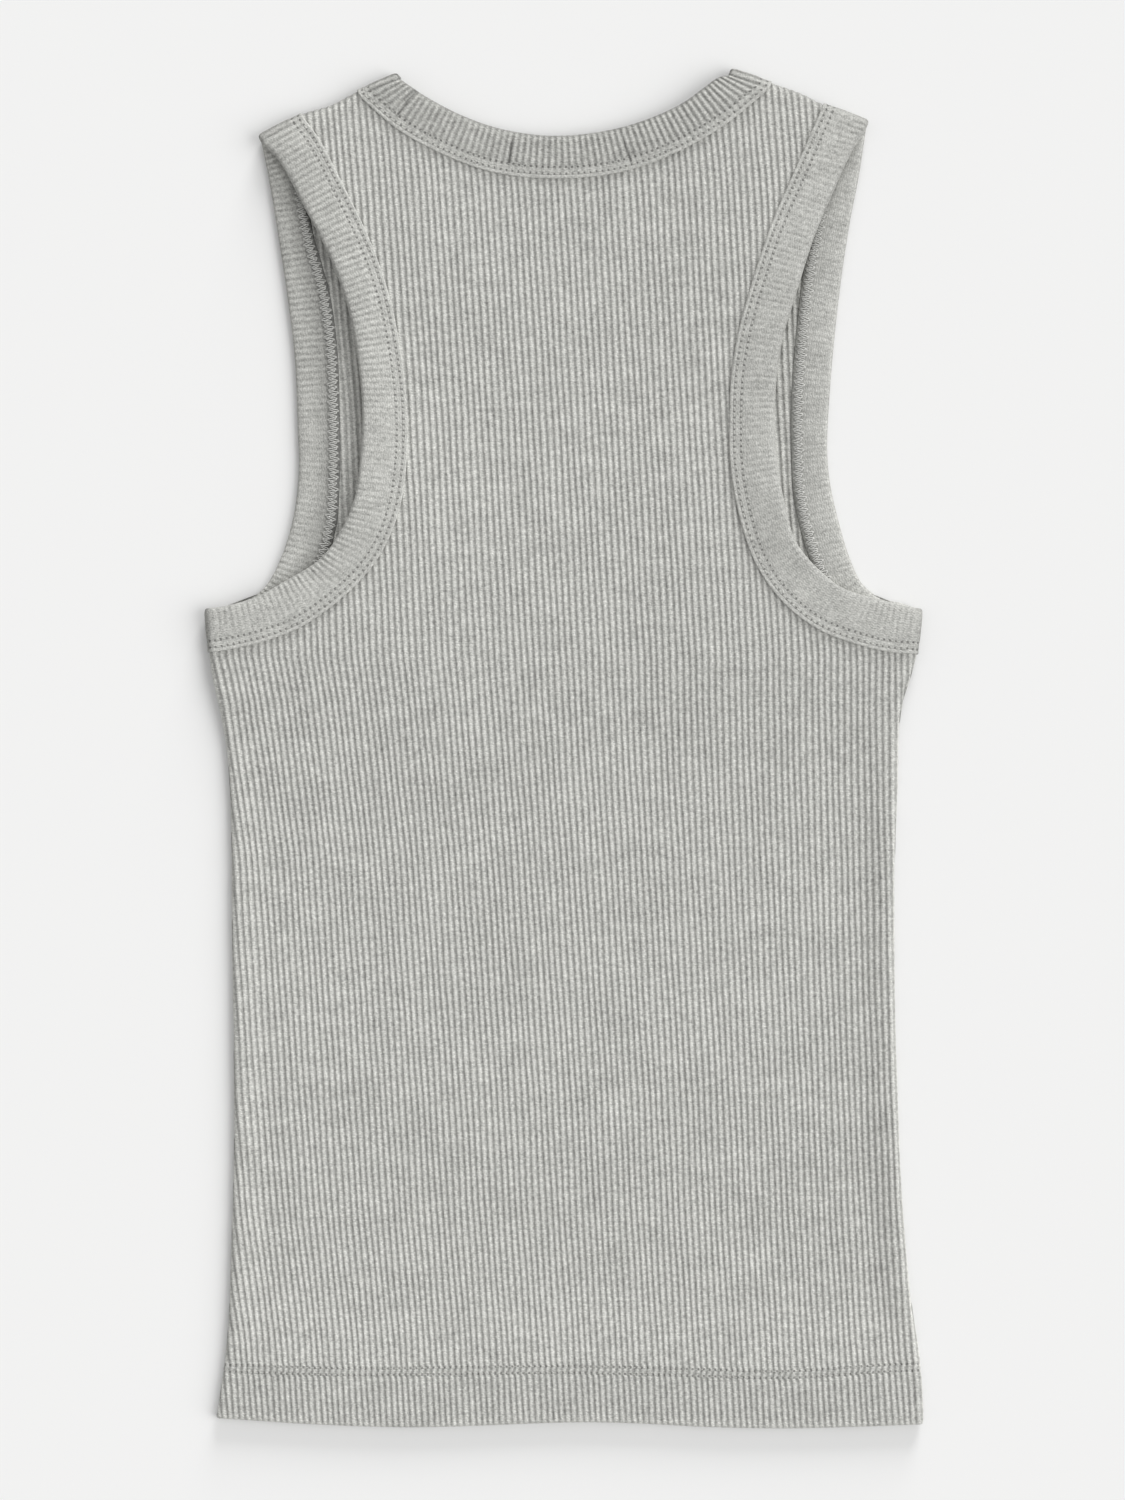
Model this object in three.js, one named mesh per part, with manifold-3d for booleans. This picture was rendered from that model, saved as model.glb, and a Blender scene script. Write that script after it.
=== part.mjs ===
// Tank top of ribbed knit, laid flat with its back uppermost and its neck towards +Y.
// Millimetres, +Z up. Two panels with turned-up hems, a neck binding and two armhole bindings.
import * as THREE from 'three';
import { mergeVertices } from 'three/addons/utils/BufferGeometryUtils.js';
import Module from 'manifold-3d';

const wasm = await Module();
wasm.setup();

// Cloth
const PANEL_WALL = 1.0;
const BINDING_WALL = 1.0;
const HEM_WALL = 2.1; // the panel and its turned-up hem, pressed together
const LAYER_GAP = 0.3;
const RIB_PITCH = 3.07;
const RIB_HEIGHT = 0.45;
const FIRST_GROOVE_X = -206.1; // groove beyond the left side, on the row where the ribs are counted
const LAST_GROOVE_X = 174.7;

// Bindings: a U section over the raw edge, n measured out from the middle of the panel's cloth
const BINDING_INSIDE = PANEL_WALL / 2 + LAYER_GAP;
const BINDING_OUTSIDE = BINDING_INSIDE + BINDING_WALL;
const BINDING_TUCK = 1.0; // the inner layer ends this much short of the stitched edge
const PANEL_INSET = 1.6; // from the binding's folded edge to the panel's raw edge
const BINDING_STEP = 9.2; // between stations on the front, and between coarse ones on the back
const FOLD_INSET = 0.5; // where the U section starts to turn, in from the folded edge
const FOLD_HEIGHT = 1.3; // and n there
const FLAT_INSET = 1.7; // where it lies flat
const INNER_FOLD_INSET = 1.1; // its inside's turn
const FOLD_SWELL = 0.8; // share of the ribs' lift near the folded edge

// Height of the cloth, from neck to hem. middle, flank and edge are the back's outer face near the
// centre line, out towards the armholes and at the side folds; under is the front's outer face,
// which rests on the surface. A row is at y, or at hem above the hem's fold.
const LEVELS = [
  { y: 345, middle: 4.95, flank: 6.2, edge: 6.2, under: 1.3, wall: PANEL_WALL },
  { y: 249, middle: 4.95, flank: 6.2, edge: 6.2, under: 1.3, wall: PANEL_WALL },
  { y: 172, middle: 4.95, flank: 4.95, edge: 4.95, under: 1.3, wall: PANEL_WALL },
  { y: 100, middle: 4.95, flank: 6.2, edge: 6.2, under: 1.3, wall: PANEL_WALL },
  { y: 42, middle: 4.5, flank: 6.2, edge: 6.2, under: 1.3, wall: PANEL_WALL },
  { y: 8, middle: 3.4, flank: 4.2, edge: 4.5, under: 0, wall: PANEL_WALL },
  { y: -30, middle: 2.6, flank: 2.6, edge: 4.5, under: 0, wall: PANEL_WALL },
  { y: -150, middle: 2.6, flank: 2.6, edge: 4.5, under: 0, wall: PANEL_WALL },
  { hem: 60, middle: 2.6, flank: 2.6, edge: 4.5, under: 0, wall: PANEL_WALL },
  { hem: 27, middle: 4.5, flank: 4.5, edge: 4.5, under: 0, wall: PANEL_WALL },
  { hem: 25.5, middle: 4.5, flank: 4.5, edge: 4.5, under: 0, wall: HEM_WALL, insideOnly: true },
  { hem: 1.2, middle: 4.5, flank: 4.5, edge: 4.5, under: 0, wall: HEM_WALL },
  { hem: 0, middle: 3.95, flank: 3.95, edge: 3.95, under: 0.55, wall: PANEL_WALL },
];
const MIDDLE_REACH = 30; // half width of the middle level
const FLANK_START = 70;
const SIDE_LOFT_WIDTH = 14;

// How far a rib wanders sideways from its place on the counting row, for a rib at the left, in the
// middle and at the right
const RIB_DRIFT_X = { left: -162, middle: -1, right: 152 };
const RIB_DRIFT = [
  { y: 345, left: -26, middle: -22, right: -18 },
  { y: 271, left: -20, middle: -14.9, right: -12 },
  { y: 160, left: -9.6, middle: -7.7, right: -6.7 },
  { y: 44, left: -4.3, middle: -1, right: 0 },
  { y: 25, left: 0, middle: 0, right: 0 },
  { y: -13, left: 5.8, middle: 2.4, right: 0.5 },
  { y: -52, left: 11, middle: 5.3, right: 1.4 },
  { y: -109, left: 14.9, middle: 9.1, right: 2.4 },
  { y: -167, left: 18.7, middle: 13, right: 4.3 },
  { y: -224, left: 23.5, middle: 15.8, right: 6.7 },
  { y: -282, left: 30.7, middle: 19.7, right: 10.6 },
  { y: -330, left: 34.2, middle: 22.4, right: 14.3 },
];

// Plan of the folds. The side and shoulder folds roll round these centre lines.
const SIDE_LEFT = [
  { x: -167.9, y: 67.4 },
  { x: -166.5, y: 46.3 },
  { x: -165, y: 32.9 },
  { x: -160.7, y: 13.7 },
  { x: -158.3, y: -0.7 },
  { x: -156.4, y: -34.3 },
  { x: -155.9, y: -87.1 },
  { x: -154.9, y: -183.1 },
  { x: -156.4, y: -245.5 },
  { x: -158.3, y: -283.9 },
  { x: -163.6, y: -322.3 },
  { x: -164.2, y: -327 },
];
const SIDE_RIGHT = [
  { x: 168.6, y: 67.4 },
  { x: 166.7, y: 45.4 },
  { x: 164.3, y: 35.3 },
  { x: 160.4, y: 23.3 },
  { x: 158.5, y: 8.9 },
  { x: 158, y: -15.1 },
  { x: 156.6, y: -53.5 },
  { x: 156.6, y: -120.7 },
  { x: 158, y: -168.7 },
  { x: 159.5, y: -207.1 },
  { x: 163.8, y: -259.9 },
  { x: 168.6, y: -293.5 },
  { x: 170, y: -312.7 },
  { x: 170.2, y: -328 },
];
const SHOULDER_LEFT = [
  { x: -144.4, y: 290.2 },
  { x: -123.7, y: 301.2 },
  { x: -110.3, y: 305.5 },
  { x: -97.3, y: 312.2 },
  { x: -77.7, y: 320.4 },
];
const SHOULDER_RIGHT = [
  { x: 145.5, y: 297.4 },
  { x: 123.9, y: 306 },
  { x: 112.9, y: 311.3 },
  { x: 99, y: 316.1 },
  { x: 79.3, y: 322.3 },
];
const HEM = [
  { x: -215, y: -319.4 },
  { x: -166, y: -320.9 },
  { x: -118.9, y: -323.8 },
  { x: -70.9, y: -325.2 },
  { x: 5.9, y: -322.8 },
  { x: 34.7, y: -323.3 },
  { x: 73.1, y: -325.2 },
  { x: 111.5, y: -325.7 },
  { x: 172.4, y: -323.8 },
  { x: 200, y: -322.8 },
];

// Plan of the bindings. edge is the folded edge and seam the stitched one, straight across.
const LEFT_ARMHOLE_BACK = [
  { edgeX: -144.4, edgeY: 290.2, seamX: -123.7, seamY: 301.2 },
  { edgeX: -135.7, edgeY: 281, seamX: -117, seamY: 292.1 },
  { edgeX: -125.2, edgeY: 261.8, seamX: -106.5, seamY: 272.4 },
  { edgeX: -110.8, edgeY: 233.5, seamX: -91.6, seamY: 241.2 },
  { edgeX: -102.1, edgeY: 208.1, seamX: -82.5, seamY: 214.3 },
  { edgeX: -97.3, edgeY: 179.3, seamX: -76.2, seamY: 180.7 },
  { edgeX: -95.9, edgeY: 157.7, seamX: -74.3, seamY: 155.8 },
  { edgeX: -96.9, edgeY: 138.5, seamX: -74.8, seamY: 136.6 },
  { edgeX: -99.7, edgeY: 119.3, seamX: -77.7, seamY: 116.4 },
  { edgeX: -106.5, edgeY: 103.4, seamX: -85.3, seamY: 96.2 },
  { edgeX: -116.5, edgeY: 90.5, seamX: -99.3, seamY: 78 },
  { edgeX: -133.3, edgeY: 79.9, seamX: -123.3, seamY: 59.3 },
  { edgeX: -147.7, edgeY: 72.2, seamX: -142, seamY: 51.6 },
  { edgeX: -160.7, edgeY: 68.4, seamX: -157.8, seamY: 47.8 },
  { edgeX: -167.9, edgeY: 67.4, seamX: -166.5, seamY: 46.3 },
];
const LEFT_ARMHOLE_FRONT = [
  { edgeX: -167.9, edgeY: 67.4, seamX: -166.5, seamY: 46.3 },
  { edgeX: -160.7, edgeY: 68.4, seamX: -156.9, seamY: 47.8 },
  { edgeX: -151.1, edgeY: 71.3, seamX: -141.5, seamY: 55.9 },
  { edgeX: -142.5, edgeY: 78, seamX: -127.1, seamY: 69.4 },
  { edgeX: -134.8, edgeY: 92.4, seamX: -114.1, seamY: 86.6 },
  { edgeX: -129, edgeY: 112.1, seamX: -107.9, seamY: 108.2 },
  { edgeX: -126.6, edgeY: 133.7, seamX: -106.5, seamY: 131.8 },
  { edgeX: -127.1, edgeY: 152.9, seamX: -106.5, seamY: 152.9 },
  { edgeX: -128.5, edgeY: 186.5, seamX: -107.4, seamY: 188.4 },
  { edgeX: -131.9, edgeY: 215.3, seamX: -111.3, seamY: 218.2 },
  { edgeX: -136.2, edgeY: 244.1, seamX: -119.4, seamY: 247.9 },
  { edgeX: -140.5, edgeY: 270.5, seamX: -123.3, seamY: 274.8 },
  { edgeX: -144.4, edgeY: 290.2, seamX: -123.7, seamY: 301.2 },
];
const RIGHT_ARMHOLE_BACK = [
  { edgeX: 145.5, edgeY: 297.4, seamX: 123.9, seamY: 306 },
  { edgeX: 137.9, edgeY: 284.9, seamX: 117.2, seamY: 290.6 },
  { edgeX: 129.2, edgeY: 265.7, seamX: 109.5, seamY: 272.9 },
  { edgeX: 120.1, edgeY: 244.1, seamX: 99.9, seamY: 250.8 },
  { edgeX: 111, edgeY: 215.3, seamX: 89.9, seamY: 220.6 },
  { edgeX: 105.2, edgeY: 196.1, seamX: 84.1, seamY: 199.4 },
  { edgeX: 102.3, edgeY: 176.9, seamX: 80.7, seamY: 178.3 },
  { edgeX: 101.4, edgeY: 157.7, seamX: 79.8, seamY: 156.7 },
  { edgeX: 102.3, edgeY: 138.5, seamX: 80.3, seamY: 135.6 },
  { edgeX: 105.7, edgeY: 119.3, seamX: 84.1, seamY: 112.6 },
  { edgeX: 111.5, edgeY: 99.1, seamX: 92.3, seamY: 88.6 },
  { edgeX: 122.5, edgeY: 85.7, seamX: 105.2, seamY: 70.3 },
  { edgeX: 134.5, edgeY: 76.6, seamX: 122.5, seamY: 56.9 },
  { edgeX: 152.3, edgeY: 71.3, seamX: 146.5, seamY: 48.2 },
  { edgeX: 162.8, edgeY: 68.4, seamX: 159.9, seamY: 45.8 },
  { edgeX: 168.6, edgeY: 67.4, seamX: 166.7, seamY: 45.4 },
];
const RIGHT_ARMHOLE_FRONT = [
  { edgeX: 168.6, edgeY: 67.4, seamX: 166.7, seamY: 45.4 },
  { edgeX: 161.9, edgeY: 69.8, seamX: 157.1, seamY: 47.8 },
  { edgeX: 152.3, edgeY: 72.2, seamX: 143.6, seamY: 53 },
  { edgeX: 143.6, edgeY: 79, seamX: 131.1, seamY: 65.5 },
  { edgeX: 137.9, edgeY: 90.5, seamX: 120.1, seamY: 85.2 },
  { edgeX: 133.1, edgeY: 105.8, seamX: 114.3, seamY: 101.5 },
  { edgeX: 128.3, edgeY: 126.5, seamX: 110, seamY: 123.1 },
  { edgeX: 126.8, edgeY: 143.3, seamX: 109.1, seamY: 142.3 },
  { edgeX: 127.8, edgeY: 167.3, seamX: 109.1, seamY: 168.2 },
  { edgeX: 130.2, edgeY: 196.1, seamX: 111.5, seamY: 199.9 },
  { edgeX: 133.5, edgeY: 224.9, seamX: 114.8, seamY: 228.7 },
  { edgeX: 137.9, edgeY: 253.7, seamX: 120.6, seamY: 259 },
  { edgeX: 141.7, edgeY: 272.9, seamX: 122.5, seamY: 278.6 },
  { edgeX: 145.5, edgeY: 297.4, seamX: 123.9, seamY: 306 },
];
const NECK_BACK = [
  { edgeX: -77.7, edgeY: 320.4, seamX: -97.3, seamY: 312.2 },
  { edgeX: -72.9, edgeY: 317, seamX: -88.7, seamY: 304.1 },
  { edgeX: -65.7, edgeY: 312.2, seamX: -77.2, seamY: 295 },
  { edgeX: -49.3, edgeY: 303.6, seamX: -57.5, seamY: 284.4 },
  { edgeX: -30.1, edgeY: 296.9, seamX: -34.9, seamY: 276.2 },
  { edgeX: -6.1, edgeY: 293.5, seamX: -6.6, seamY: 272.9 },
  { edgeX: 17.9, edgeY: 295.4, seamX: 22.2, seamY: 274.8 },
  { edgeX: 37.1, edgeY: 300.2, seamX: 44.3, seamY: 281 },
  { edgeX: 56.3, edgeY: 308.4, seamX: 66.8, seamY: 291.6 },
  { edgeX: 67.3, edgeY: 316.1, seamX: 80.7, seamY: 300.7 },
  { edgeX: 74, edgeY: 320.9, seamX: 91.8, seamY: 309.8 },
  { edgeX: 79.3, edgeY: 322.3, seamX: 99, seamY: 316.1 },
];
const NECK_FRONT = [
  { edgeX: 79.3, edgeY: 322.3, seamX: 99, seamY: 316.1 },
  { edgeX: 76.4, edgeY: 296.9, seamX: 96.6, seamY: 292.1 },
  { edgeX: 65.9, edgeY: 265.7, seamX: 84.6, seamY: 256.6 },
  { edgeX: 44.3, edgeY: 236.9, seamX: 56.3, seamY: 220.1 },
  { edgeX: 22.7, edgeY: 222.5, seamX: 29.4, seamY: 202.3 },
  { edgeX: 0.1, edgeY: 217.7, seamX: 0.1, seamY: 196.6 },
  { edgeX: -22.5, edgeY: 222.5, seamX: -29.2, seamY: 202.3 },
  { edgeX: -44.5, edgeY: 236.9, seamX: -56.5, seamY: 220.1 },
  { edgeX: -64.7, edgeY: 265.7, seamX: -83.4, seamY: 256.6 },
  { edgeX: -74.8, edgeY: 296.9, seamX: -94.9, seamY: 291.6 },
  { edgeX: -77.7, edgeY: 320.4, seamX: -97.3, seamY: 312.2 },
];

// Seams: the back panel's share of each half turn round a fold, and the gap left beside it
const SIDE_SEAM_ANGLE = THREE.MathUtils.degToRad(90);
const SHOULDER_SEAM_ANGLE = THREE.MathUtils.degToRad(150);
const FOLD_STEP_ANGLE = THREE.MathUtils.degToRad(30);
const FOLD_STATION_STEP = 18;
const BINDING_FOLD_STEP = 2; // between a binding's stations round a fold
const ROLL_LAP = 0.25; // how far a roll runs into the flat cloth it joins
const ROLL_SKIN = 0.02; // and how much thinner it is, so that no two faces lie in one plane
const CUT_DEPTH = 30; // half the height of the tool solids
const WELD = 1e-4; // points nearer than this are one

// Steps of the curves
const SIDE_LINE_STEPS = 90;
const HEM_LINE_STEPS = 60;
const RAW_EDGE_STEPS = 40;
const LENGTH_STEPS = 100;

// Stations down a side fold: the first below the armhole, where the even ones start and how far
// above the hem they and the fold end
const SIDE_FOLD_FIRST = 10;
const SIDE_FOLD_EVEN_Y = 24;
const SIDE_FOLD_EVEN_END = 66;
const SIDE_FOLD_END = 43;
const SIDE_FOLD_HEM_Y = -324; // near where the side fold meets the hem

// Columns of the plain sheets, as distances in from the side folds, and equal spans between them
const BACK_INSIDE_OFFSETS = [-8, 0, 4, 8, SIDE_LOFT_WIDTH];
const BACK_INSIDE_SPANS = 22;
const FRONT_OFFSETS = [-8];
const FRONT_SPANS = 8;
const INSIDE_OVERRUN = 5; // how far the inside's tool runs past the hem

function smoothRise(value, low, high) {
  const t = THREE.MathUtils.clamp((value - low) / (high - low), 0, 1);
  return t * t * (3 - 2 * t);
}

// A row's values at y, straight between the rows of a table sorted from high y to low y
function tableAt(rows, y, names) {
  let index = 0;
  while (index < rows.length - 2 && y < rows[index + 1].y) index += 1;
  const upper = rows[index];
  const lower = rows[index + 1];
  const t = THREE.MathUtils.clamp((upper.y - y) / (upper.y - lower.y), 0, 1);
  return names.map((name) => THREE.MathUtils.lerp(upper[name], lower[name], t));
}

// A smooth line through the rows of a plan table
function smoothLine(rows, steps) {
  const points = rows.map((row) => new THREE.Vector3(row.x, row.y, 0));
  const curve = new THREE.CatmullRomCurve3(points, false, 'centripetal');
  return curve.getPoints(steps).map((point) => ({ x: point.x, y: point.y }));
}

const sideLines = {
  left: smoothLine(SIDE_LEFT, SIDE_LINE_STEPS),
  right: smoothLine(SIDE_RIGHT, SIDE_LINE_STEPS),
};
const hemLine = smoothLine(HEM, HEM_LINE_STEPS);

function sideX(side, y) {
  return tableAt(sideLines[side], y, ['x'])[0];
}

function hemY(x) {
  let index = 0;
  while (index < hemLine.length - 2 && x > hemLine[index + 1].x) index += 1;
  const start = hemLine[index];
  const end = hemLine[index + 1];
  const t = THREE.MathUtils.clamp((x - start.x) / (end.x - start.x), 0, 1);
  return THREE.MathUtils.lerp(start.y, end.y, t);
}

function rowY(row, x) {
  return row.hem === undefined ? row.y : hemY(x) + row.hem;
}

// The cloth's heights at a point of the plan
function levelAt(x, y) {
  const rows = LEVELS.map((row) => ({ ...row, y: rowY(row, x) }));
  const names = ['middle', 'flank', 'edge', 'under', 'wall'];
  const [middle, flank, edge, under, wall] = tableAt(rows, y, names);
  const fromSide = Math.min(x - sideX('left', y), sideX('right', y) - x);
  const toFlank = smoothRise(Math.abs(x), MIDDLE_REACH, FLANK_START);
  const toEdge = 1 - smoothRise(fromSide, 0, SIDE_LOFT_WIDTH);
  const top = middle + (flank - middle) * toFlank + (edge - flank) * toEdge;
  return { top, under, wall, edge };
}

function ribDrift(countX, y) {
  const [left, middle, right] = tableAt(RIB_DRIFT, y, ['left', 'middle', 'right']);
  const { left: xl, middle: xm, right: xr } = RIB_DRIFT_X;
  const toLeft = ((countX - xm) * (countX - xr)) / ((xl - xm) * (xl - xr));
  const toMiddle = ((countX - xl) * (countX - xr)) / ((xm - xl) * (xm - xr));
  const toRight = ((countX - xl) * (countX - xm)) / ((xr - xl) * (xr - xm));
  return left * toLeft + middle * toMiddle + right * toRight;
}

// Closed meshes
function makeMesh(points, triangles) {
  let volume = 0;
  const a = new THREE.Vector3();
  const b = new THREE.Vector3();
  const c = new THREE.Vector3();
  for (const [i, j, k] of triangles) {
    a.fromArray(points[i]);
    b.fromArray(points[j]);
    c.fromArray(points[k]);
    volume += a.dot(b.cross(c));
  }
  const faces = volume < 0 ? triangles.map(([i, j, k]) => [i, k, j]) : triangles;
  return { points, faces };
}

function toManifold({ points, faces }) {
  const mesh = new wasm.Mesh({
    numProp: 3,
    vertProperties: new Float32Array(points.flat()),
    triVerts: new Uint32Array(faces.flat()),
  });
  return new wasm.Manifold(mesh);
}

function toGeometry(mesh) {
  const geometry = new THREE.BufferGeometry();
  geometry.setAttribute('position', new THREE.Float32BufferAttribute(mesh.points.flat(), 3));
  geometry.setIndex(mesh.faces.flat());
  geometry.computeVertexNormals();
  return geometry;
}

function manifoldToGeometry(solid) {
  const mesh = solid.getMesh();
  const geometry = new THREE.BufferGeometry();
  geometry.setAttribute('position', new THREE.BufferAttribute(mesh.vertProperties, 3));
  geometry.setIndex(new THREE.BufferAttribute(mesh.triVerts, 1));
  const merged = mergeVertices(geometry, WELD);
  merged.computeVertexNormals();
  return merged;
}

// A solid between an upper and a lower sheet, each given as columns of [x, y, z] points. A sheet
// may have fewer rows than the other: only the first and last rows are joined one to one.
function slabBetween(upper, lower) {
  const points = [];
  const triangles = [];
  const place = (columns) => columns.map((column) => column.map((point) => points.push(point) - 1));
  const top = place(upper);
  const bottom = place(lower);
  const sheet = (grid, flip) => {
    for (let j = 0; j < grid.length - 1; j += 1) {
      for (let i = 0; i < grid[j].length - 1; i += 1) {
        const [a, b, c, d] = [grid[j][i], grid[j][i + 1], grid[j + 1][i + 1], grid[j + 1][i]];
        triangles.push(flip ? [a, c, b] : [a, b, c], flip ? [a, d, c] : [a, c, d]);
      }
    }
  };
  sheet(top, false);
  sheet(bottom, true);
  const wall = (upperEdge, lowerEdge, flip) => {
    let [i, j] = [0, 0];
    while (i < upperEdge.length - 1 || j < lowerEdge.length - 1) {
      const upperNext = (i + 1) / (upperEdge.length - 1);
      const lowerNext = (j + 1) / (lowerEdge.length - 1);
      const upperLeft = i < upperEdge.length - 1;
      const lowerLeft = j < lowerEdge.length - 1;
      const stepUpper = !lowerLeft || (upperLeft && upperNext <= lowerNext);
      const third = stepUpper ? upperEdge[i + 1] : lowerEdge[j + 1];
      const triangle = [upperEdge[i], lowerEdge[j], third];
      triangles.push(flip ? triangle.reverse() : triangle);
      if (stepUpper) i += 1;
      else j += 1;
    }
  };
  const last = (grid) => grid[grid.length - 1];
  wall(top[0], bottom[0], false);
  wall(last(top), last(bottom), true);
  wall(top.map((column) => column[0]), bottom.map((column) => column[0]), true);
  wall(top.map(last), bottom.map(last), false);
  return makeMesh(points, triangles);
}

// A tool solid of vertical walls round a plan outline
function prism(outline) {
  const shape = new THREE.Shape(outline.map(({ x, y }) => new THREE.Vector2(x, y)));
  const geometry = new THREE.ExtrudeGeometry(shape, { depth: 2 * CUT_DEPTH, bevelEnabled: false });
  geometry.translate(0, 0, -CUT_DEPTH);
  geometry.deleteAttribute('normal');
  geometry.deleteAttribute('uv');
  const merged = mergeVertices(geometry, WELD);
  const mesh = new wasm.Mesh({
    numProp: 3,
    vertProperties: merged.attributes.position.array,
    triVerts: new Uint32Array(merged.index.array),
  });
  return new wasm.Manifold(mesh);
}

// A cloth wall rolled round a fold. path holds { x, y } and out its outward directions. The wall
// runs from the flat cloth at the angle flat to the seam, angles from the top of the half turn.
function rollSolid(path, out, flat, seam) {
  const count = Math.round(Math.abs(seam - flat) / FOLD_STEP_ANGLE);
  const angles = [];
  for (let i = 0; i <= count; i += 1) angles.push(THREE.MathUtils.lerp(flat, seam, i / count));
  const side = Math.sign(seam - flat);
  const sections = path.map((place, index) => {
    const { under, wall, edge } = levelAt(place.x, place.y);
    const centre = (edge + under) / 2;
    const outer = (edge - under) / 2 - ROLL_SKIN;
    const inner = (edge - under) / 2 - wall + ROLL_SKIN;
    // back is how far the point is drawn back along the turn, towards the flat cloth
    const at = (radius, angle, back) => {
      const reach = radius * Math.sin(angle) - side * back * Math.cos(angle);
      const z = centre + radius * Math.cos(angle) + side * back * Math.sin(angle);
      return [place.x + out[index].x * reach, place.y + out[index].y * reach, z];
    };
    const face = (radius) => [
      at(radius, flat, ROLL_LAP),
      ...angles.slice(0, -1).map((angle) => at(radius, angle, 0)),
      at(radius, seam, LAYER_GAP / 2),
    ];
    return [...face(outer), ...face(inner).reverse()];
  });
  return toManifold(loft(sections));
}

// A closed solid through section loops, capped at both ends
function loft(sections) {
  const points = sections.flat();
  const size = sections[0].length;
  const triangles = [];
  for (let s = 0; s < sections.length - 1; s += 1) {
    for (let i = 0; i < size; i += 1) {
      const next = (i + 1) % size;
      const [a, b] = [s * size + i, s * size + next];
      triangles.push([a, b, b + size], [a, b + size, a + size]);
    }
  }
  const half = size / 2;
  for (const first of [0, (sections.length - 1) * size]) {
    for (let i = 0; i < half - 1; i += 1) {
      const [a, b] = [first + i, first + i + 1];
      const [c, d] = [first + size - 2 - i, first + size - 1 - i];
      const quad = [[a, c, b], [a, d, c]];
      triangles.push(...(first === 0 ? quad : quad.map((triangle) => triangle.reverse())));
    }
  }
  return makeMesh(points, triangles);
}

// Paths of the folds, from the armhole down the side and from the armhole to the neck
function sidePath(side) {
  const outward = side === 'left' ? -1 : 1;
  const start = sideLines[side][0].y - PANEL_INSET;
  const endX = sideX(side, SIDE_FOLD_HEM_Y);
  const hem = hemY(endX);
  const ys = [start, start - SIDE_FOLD_FIRST];
  for (const row of LEVELS) {
    const y = rowY(row, endX);
    if (y < start - SIDE_FOLD_FIRST) ys.push(y);
  }
  for (let y = SIDE_FOLD_EVEN_Y; y > hem + SIDE_FOLD_EVEN_END; y -= FOLD_STATION_STEP) ys.push(y);
  ys.push(hem + SIDE_FOLD_END);
  const path = ys.sort((a, b) => b - a).map((y) => ({ x: sideX(side, y), y }));
  return { path, out: path.map(() => ({ x: outward, y: 0 })) };
}

function shoulderPath(rows) {
  const line = rows.map(({ x, y }) => new THREE.Vector2(x, y));
  const inset = (from, to) => from.clone().add(to.clone().sub(from).setLength(PANEL_INSET));
  const last = line.length - 1;
  const path = [inset(line[0], line[1]), ...line.slice(1, last), inset(line[last], line[last - 1])];
  const out = path.map((_, i) => {
    const from = path[Math.max(i - 1, 0)];
    const to = path[Math.min(i + 1, last)];
    const along = to.clone().sub(from).normalize();
    const normal = new THREE.Vector2(-along.y, along.x);
    return normal.y < 0 ? normal.negate() : normal;
  });
  return { path, out };
}

const folds = [
  { ...sidePath('left'), seam: SIDE_SEAM_ANGLE },
  { ...sidePath('right'), seam: SIDE_SEAM_ANGLE },
  { ...shoulderPath(SHOULDER_LEFT), seam: SHOULDER_SEAM_ANGLE },
  { ...shoulderPath(SHOULDER_RIGHT), seam: SHOULDER_SEAM_ANGLE },
];

// A stretch of binding: its folded edge and stitched edge as smooth curves over the same t
function stretchCurves(rows) {
  const curve = (x, y) => {
    const points = rows.map((row) => new THREE.Vector3(row[x], row[y], 0));
    return new THREE.CatmullRomCurve3(points, false, 'centripetal');
  };
  const edge = curve('edgeX', 'edgeY');
  const seam = curve('seamX', 'seamY');
  return (t) => {
    const from = edge.getPoint(t);
    const to = seam.getPoint(t);
    return { from, width: from.distanceTo(to), across: to.clone().sub(from).normalize() };
  };
}

const bindings = {
  neck: { back: stretchCurves(NECK_BACK), front: stretchCurves(NECK_FRONT) },
  left: { back: stretchCurves(LEFT_ARMHOLE_BACK), front: stretchCurves(LEFT_ARMHOLE_FRONT) },
  right: { back: stretchCurves(RIGHT_ARMHOLE_BACK), front: stretchCurves(RIGHT_ARMHOLE_FRONT) },
};

// A panel's plan: its raw edges lie inside the bindings, its folds end on their centre lines
function panelPlan(face) {
  const rawEdge = (stretch, reversed) => {
    const points = [];
    for (let i = 0; i <= RAW_EDGE_STEPS; i += 1) {
      const t = i / RAW_EDGE_STEPS;
      const { from, across } = stretch(reversed ? 1 - t : t);
      const point = from.clone().addScaledVector(across, PANEL_INSET);
      points.push({ x: point.x, y: point.y });
    }
    return points;
  };
  const inner = (path) => path.slice(1, -1).map(({ x, y }) => ({ x, y }));
  const front = face === 'front';
  const left = folds[0].path.slice(1).map(({ x, y }) => ({ x, y }));
  const right = folds[1].path.slice(1).map(({ x, y }) => ({ x, y }));
  const leftEnd = left[left.length - 1];
  const rightEnd = right[right.length - 1];
  return [
    ...rawEdge(bindings.left[face], !front),
    ...inner(folds[2].path),
    ...rawEdge(bindings.neck[face], front),
    ...inner(folds[3].path).reverse(),
    ...rawEdge(bindings.right[face], front),
    ...right,
    { x: rightEnd.x, y: rightEnd.y - CUT_DEPTH },
    { x: leftEnd.x, y: leftEnd.y - CUT_DEPTH },
    ...left.reverse(),
  ];
}

function foldRolls(face) {
  const flat = face === 'back' ? 0 : Math.PI;
  return folds.map(({ path, out, seam }) => rollSolid(path, out, flat, seam));
}

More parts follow.
